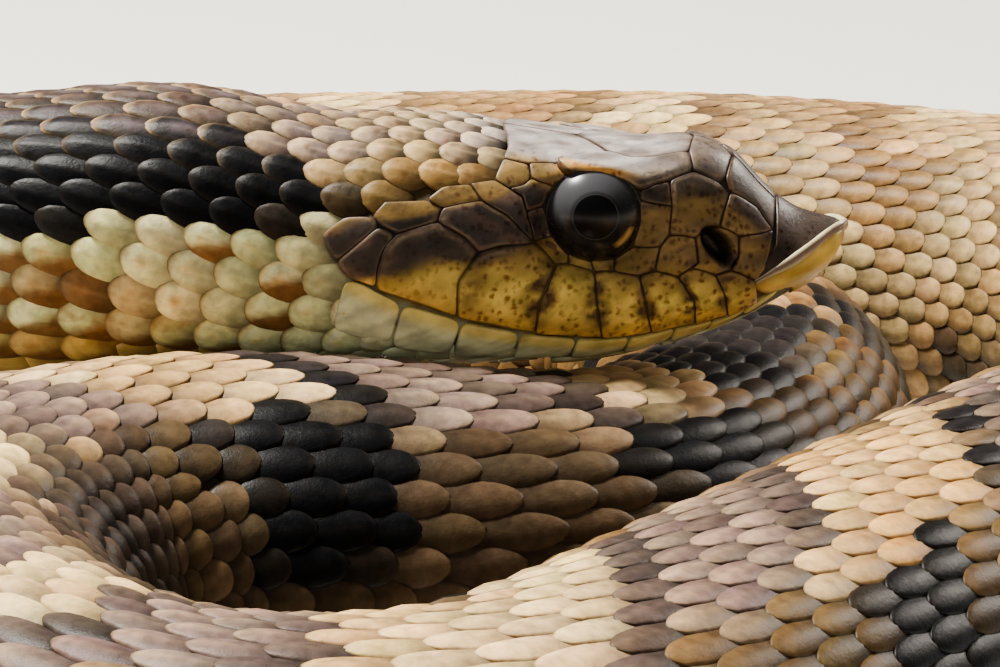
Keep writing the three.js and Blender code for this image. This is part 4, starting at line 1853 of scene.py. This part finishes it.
@dataclass(frozen=True)
class MottleGroup:
    """Shared effect: uneven tone, rusty patches and fine dark speckles over a marking colour."""

    name: str = "mottle"
    dot_color: Paint = (0.26, 0.14, 0.08, 1)
    rust_color: Paint = (0.33, 0.13, 0.025, 1)
    deep_rust: Paint = (0.11, 0.045, 0.014, 1)
    wobble_scale: float = 2200
    wobble: float = 0.00045
    patch_scale: float = 430

    def build(self) -> NodeTree:
        """Build the shared effect.

        Returns:
            The node group.
        """
        takes = {"Color": COLOR, "Speckle": VALUE, "Rust": VALUE, "Tone Size": VALUE, "Dot Size": VALUE}
        wiring, given, result = new_group(self.name, takes, {"Color": COLOR, "Tone": VALUE})
        place = wiring.place()
        tone = wiring.noise(place, given["Tone Size"], detail=4.0).outputs["Fac"]
        uneven = wiring.remap(tone, 0.3, 0.7, 0.68, 1.25)
        shaded = wiring.blend(1.0, given["Color"], uneven, "MULTIPLY")
        patch = wiring.noise(place, self.patch_scale, detail=3.0, distortion=0.4).outputs["Fac"]
        brown = wiring.blend(wiring.remap(patch, 0.56, 0.66), self.rust_color, self.deep_rust)
        rusty = wiring.times(wiring.remap(patch, 0.50, 0.60), given["Rust"])
        rusted = wiring.blend(rusty, shaded, brown)
        shake = wiring.noise(place, self.wobble_scale).outputs["Color"]
        feeds = {0: shake, 1: (self.wobble,) * 3, 2: place}
        where = wiring.node("ShaderNodeVectorMath", feeds, operation="MULTIPLY_ADD").outputs["Vector"]
        cells = wiring.node("ShaderNodeTexVoronoi", {"Vector": where, "Scale": given["Dot Size"]}).outputs
        red = wiring.node("ShaderNodeSeparateColor", {"Color": cells["Color"]}).outputs["Red"]
        dots = wiring.times(wiring.remap(cells["Distance"], 0.58, 0.20), wiring.remap(red, 0.15, 0.75))
        speckled = wiring.blend(wiring.times(dots, given["Speckle"]), rusted, self.dot_color, "MULTIPLY")
        wiring.supply(result, {"Color": speckled, "Tone": tone})
        return wiring.tree


@dataclass(frozen=True)
class GrainGroup:
    """Shared effect: the fine relief of horn and skin."""

    name: str = "horn_grain"

    def build(self) -> NodeTree:
        """Build the shared effect.

        Returns:
            The node group.
        """
        wiring, given, result = new_group(self.name, {"Size": VALUE}, {"Height": VALUE})
        noise = wiring.noise(wiring.place(), given["Size"], detail=6.0, roughness=0.65)
        wiring.supply(result, {"Height": noise.outputs["Fac"]})
        return wiring.tree


@dataclass(frozen=True)
class HornFinish:
    """A scale or skin finish that carries the markings."""

    name: str
    roughness: float
    coat: float
    tone_size: float
    dot_size: float
    grain_size: float
    relief: float
    gloss: float = 0.24

    def build(self, mottle: NodeTree, grain: NodeTree) -> Material:
        """Build the finish.

        Args:
            mottle: The shared effect of tone, rust and speckles.
            grain: The shared effect of fine relief.

        Returns:
            The material.
        """
        material, wiring, shader = new_material(self.name)
        marks = wiring.node("ShaderNodeGroup", {}, node_tree=mottle)
        wiring.supply(marks, {
            "Tone Size": self.tone_size, "Dot Size": self.dot_size, "Rust": wiring.attribute("rust"),
            "Color": wiring.attribute("markings", "Color"), "Speckle": wiring.attribute("speckle"),
        })
        fine = wiring.node("ShaderNodeGroup", {}, node_tree=grain)
        wiring.supply(fine, {"Size": self.grain_size})
        relief = {"Strength": 0.6, "Distance": self.relief * MM, "Height": fine.outputs["Height"]}
        bump = wiring.node("ShaderNodeBump", relief)
        rough = wiring.remap(marks.outputs["Tone"], 0.0, 1.0, self.roughness - 0.08, self.roughness + 0.12)
        wiring.supply(shader, {
            "Base Color": marks.outputs["Color"], "Roughness": rough, "Normal": bump.outputs["Normal"],
            "Coat Weight": self.coat, "Coat Roughness": 0.25, "Specular IOR Level": self.gloss,
        })
        return material


@dataclass(frozen=True)
class EyeFinish:
    """The wet eye: a dark pupil, a thin pale ring and a deep brown iris, with a painted reflection
    of the sky and a painted warm glint.
    """

    name: str = "eye_surface"
    # distances over the ball from the middle of the gaze, mm
    pupil: float = 1.32
    span: float = 3.2
    night: Paint = (0.001, 0.001, 0.0015, 1)
    ring: Paint = (0.036, 0.038, 0.036, 1)
    iris: Paint = (0.006, 0.006, 0.006, 1)
    iris_edge: Paint = (0.010, 0.009, 0.008, 1)
    white: Paint = (0.006, 0.005, 0.005, 1)
    golden: Paint = (0.05, 0.042, 0.028, 1)
    mist: Paint = (0.046, 0.046, 0.050, 1)
    warm: Paint = (0.48, 0.27, 0.07, 1)

    def build(self) -> Material:
        """Build the finish.

        Returns:
            The material.
        """
        material, wiring, shader = new_material(self.name)
        gaze = wiring.attribute("gaze")
        flecks = wiring.noise(wiring.place(), 2600, detail=4.0).outputs["Fac"]
        bright = wiring.remap(flecks, 0.54, 0.72)
        outer = wiring.remap(gaze, self.pupil + 0.5, self.pupil + 1.7)
        color = wiring.blend(wiring.times(bright, outer), self.rings(wiring, gaze), self.golden)
        outside = wiring.remap(gaze, self.pupil, self.pupil + 0.25)
        # painted reflection of the sky on the upper iris, and a painted warm glint low in front
        color = wiring.blend(wiring.times(wiring.attribute("sky"), outside), color, self.mist)
        color = wiring.blend(wiring.attribute("gleam"), color, self.warm)
        wiring.supply(shader, {
            "Base Color": color, "Roughness": 0.26, "Specular IOR Level": 0.24,
            "Coat Weight": 0.03, "Coat Roughness": 0.03,
        })
        return material

    def rings(self, wiring: Wiring, gaze: Feed) -> Socket:
        """Colour the pupil, its thin pale ring and the iris.

        Args:
            wiring: The material's wiring.
            gaze: Distance over the ball from the middle of the gaze.

        Returns:
            The colour.
        """
        edge = self.pupil / self.span
        stops = [
            (0.0, self.night), (edge - 0.012, self.night), (edge + 0.004, self.ring),
            (edge + 0.02, self.iris), (0.62, self.iris), (0.76, self.iris_edge), (0.90, self.white),
        ]
        share = wiring.node("ShaderNodeMath", {0: gaze, 1: self.span}, operation="DIVIDE")
        ramp = wiring.node("ShaderNodeValToRGB", {"Fac": share.outputs["Value"]})
        while len(ramp.color_ramp.elements) < len(stops):
            ramp.color_ramp.elements.new(1.0)
        for element, (place, color) in zip(ramp.color_ramp.elements, stops):
            element.position = place
            element.color = color
        return ramp.outputs["Color"]


@dataclass(frozen=True)
class PlainFinish:
    """One colour with a faint grain."""

    name: str
    color: tuple[float, float, float]
    roughness: float
    coat: float
    grain_size: float
    spread: float

    def build(self, grain: NodeTree) -> Material:
        """Build the finish.

        Args:
            grain: The shared effect of fine relief.

        Returns:
            The material.
        """
        material, wiring, shader = new_material(self.name)
        fine = wiring.node("ShaderNodeGroup", {}, node_tree=grain)
        wiring.supply(fine, {"Size": self.grain_size})
        dim = (*[part * (1 - self.spread) for part in self.color], 1)
        bright = (*[min(part * (1 + self.spread), 1) for part in self.color], 1)
        wiring.supply(shader, {
            "Base Color": wiring.blend(fine.outputs["Height"], dim, bright),
            "Roughness": self.roughness, "Coat Weight": self.coat, "Coat Roughness": 0.12,
        })
        return material


# ---- studio ----


@dataclass
class Studio:
    """A pale floor, soft light and the camera."""

    shape: BodyShape
    floor_finish: Material
    distance: float = 218.0
    pitch: float = 14.75
    aim_height: float = 22.5
    lens: float = 132.2

    def build(self) -> None:
        """Set out the floor, the lights and the camera."""
        self.floor()
        aim = Vector(self.shape.place(np.array([-5.0, 10.0, 20.5])))
        self.light("key", aim + Vector((-0.26, 0.10, 0.50)), aim, 0.13, 17.0, (1.0, 0.96, 0.88), True)
        self.light("fill", aim + Vector((0.10, -0.70, 0.34)), aim, 0.45, 1.5, (0.95, 0.98, 1.0), False)
        self.light("rim", aim + Vector((0.40, 0.36, 0.26)), aim, 0.20, 3.0, (1.0, 0.92, 0.82), True)
        world = bpy.data.worlds.new("soft_room")
        bpy.context.scene.world = world
        world.use_nodes = True
        sky = world.node_tree.nodes["Background"]
        sky.inputs["Color"].default_value = (0.86, 0.88, 0.92, 1)
        sky.inputs["Strength"].default_value = 0.10
        self.camera()

    def floor(self) -> None:
        """Lay the pale floor under the belly."""
        bm = bmesh.new()
        bmesh.ops.create_grid(bm, x_segments=8, y_segments=8, size=3.0)
        bmesh.ops.translate(bm, verts=bm.verts, vec=(0, 0, -0.00002))
        mesh = bpy.data.meshes.new("floor")
        bm.to_mesh(mesh)
        bm.free()
        mesh.materials.append(self.floor_finish)
        floor = bpy.data.objects.new("floor", mesh)
        bpy.context.scene.collection.objects.link(floor)

    def light(self, name: str, place: Vector, aim: Vector, size: float, watts: float,
              color: tuple[float, float, float], mirrored: bool) -> None:
        """Hang one round soft light.

        Args:
            name: The light's name.
            place: Where it hangs, in metres.
            aim: What it faces.
            size: Its side.
            watts: Its power.
            color: Its colour.
            mirrored: Whether it shows in glossy surfaces.
        """
        data = bpy.data.lights.new(name, "AREA")
        data.shape = "DISK"
        data.size = size
        data.energy = watts
        data.color = color
        lamp = bpy.data.objects.new(name, data)
        lamp.location = place
        lamp.rotation_euler = (aim - place).to_track_quat("-Z", "Y").to_euler()
        lamp.visible_glossy = mirrored
        bpy.context.scene.collection.objects.link(lamp)

    def camera(self) -> None:
        """Stand the camera a little above the head, facing its right side."""
        tilt = math.radians(self.pitch)
        away, rise = self.distance * math.cos(tilt), self.distance * math.sin(tilt)
        spot = np.array([0, -away, self.aim_height + rise])
        data = bpy.data.cameras.new("view")
        data.lens = self.lens
        data.sensor_width = 36.0
        data.clip_start = 0.01
        camera = bpy.data.objects.new("view", data)
        camera.location = self.shape.place(spot)
        camera.rotation_euler = (math.pi / 2 - tilt, 0, 0)
        bpy.context.scene.collection.objects.link(camera)
        bpy.context.scene.camera = camera


def horns() -> dict[str, Material]:
    """Build the finishes of horn and skin.

    Returns:
        Each finish by its name.
    """
    mottle, grain = MottleGroup().build(), GrainGroup().build()
    finishes = [
        HornFinish("skin_surface", roughness=0.6, coat=0.0, tone_size=420, dot_size=900,
                   grain_size=3000, relief=0.05),
        HornFinish("keeled_scales", roughness=0.37, coat=0.0, tone_size=1300, dot_size=1500,
                   grain_size=3600, relief=0.05, gloss=0.07),
        HornFinish("head_plate_horn", roughness=0.40, coat=0.10, tone_size=520, dot_size=2500,
                   grain_size=3200, relief=0.05),
        HornFinish("belly_scute_horn", roughness=0.36, coat=0.2, tone_size=260, dot_size=900,
                   grain_size=2600, relief=0.02),
        HornFinish("snout_rim_horn", roughness=0.30, coat=0.3, tone_size=900, dot_size=900,
                   grain_size=3000, relief=0.02),
    ]
    found = {finish.name: finish.build(mottle, grain) for finish in finishes}
    plain = [
        # the eye rings' near-black: partly their own dark skin, partly painted shade round the eyeball
        PlainFinish("eye_ring_skin", (0.012, 0.010, 0.009), roughness=0.4, coat=0.2,
                    grain_size=2500, spread=0.4),
        PlainFinish("pale_floor", (0.70, 0.67, 0.62), roughness=0.8, coat=0.0, grain_size=30, spread=0.03),
    ]
    return found | {finish.name: finish.build(grain) for finish in plain}


def main() -> None:
    """Build the finishes, then each part of the snake, then the studio."""
    logging.basicConfig(level=logging.INFO, format="%(name)s: %(message)s")
    finish = horns()
    shape = BodyShape()
    markings = Markings(shape)
    Skin(shape, markings, finish["skin_surface"]).build()
    scales = ScaleRows(shape, markings, finish["keeled_scales"])
    scales.build()
    BellyScutes(shape, markings, finish["belly_scute_horn"], scales).build()
    HeadPlates(shape, markings, finish["head_plate_horn"]).build()
    Rostral(shape, markings, finish["head_plate_horn"], finish["snout_rim_horn"]).build()
    Eyes(shape, EyeFinish().build(), finish["eye_ring_skin"]).build()
    Studio(shape, finish["pale_floor"]).build()


if __name__ == "__main__":
    main()
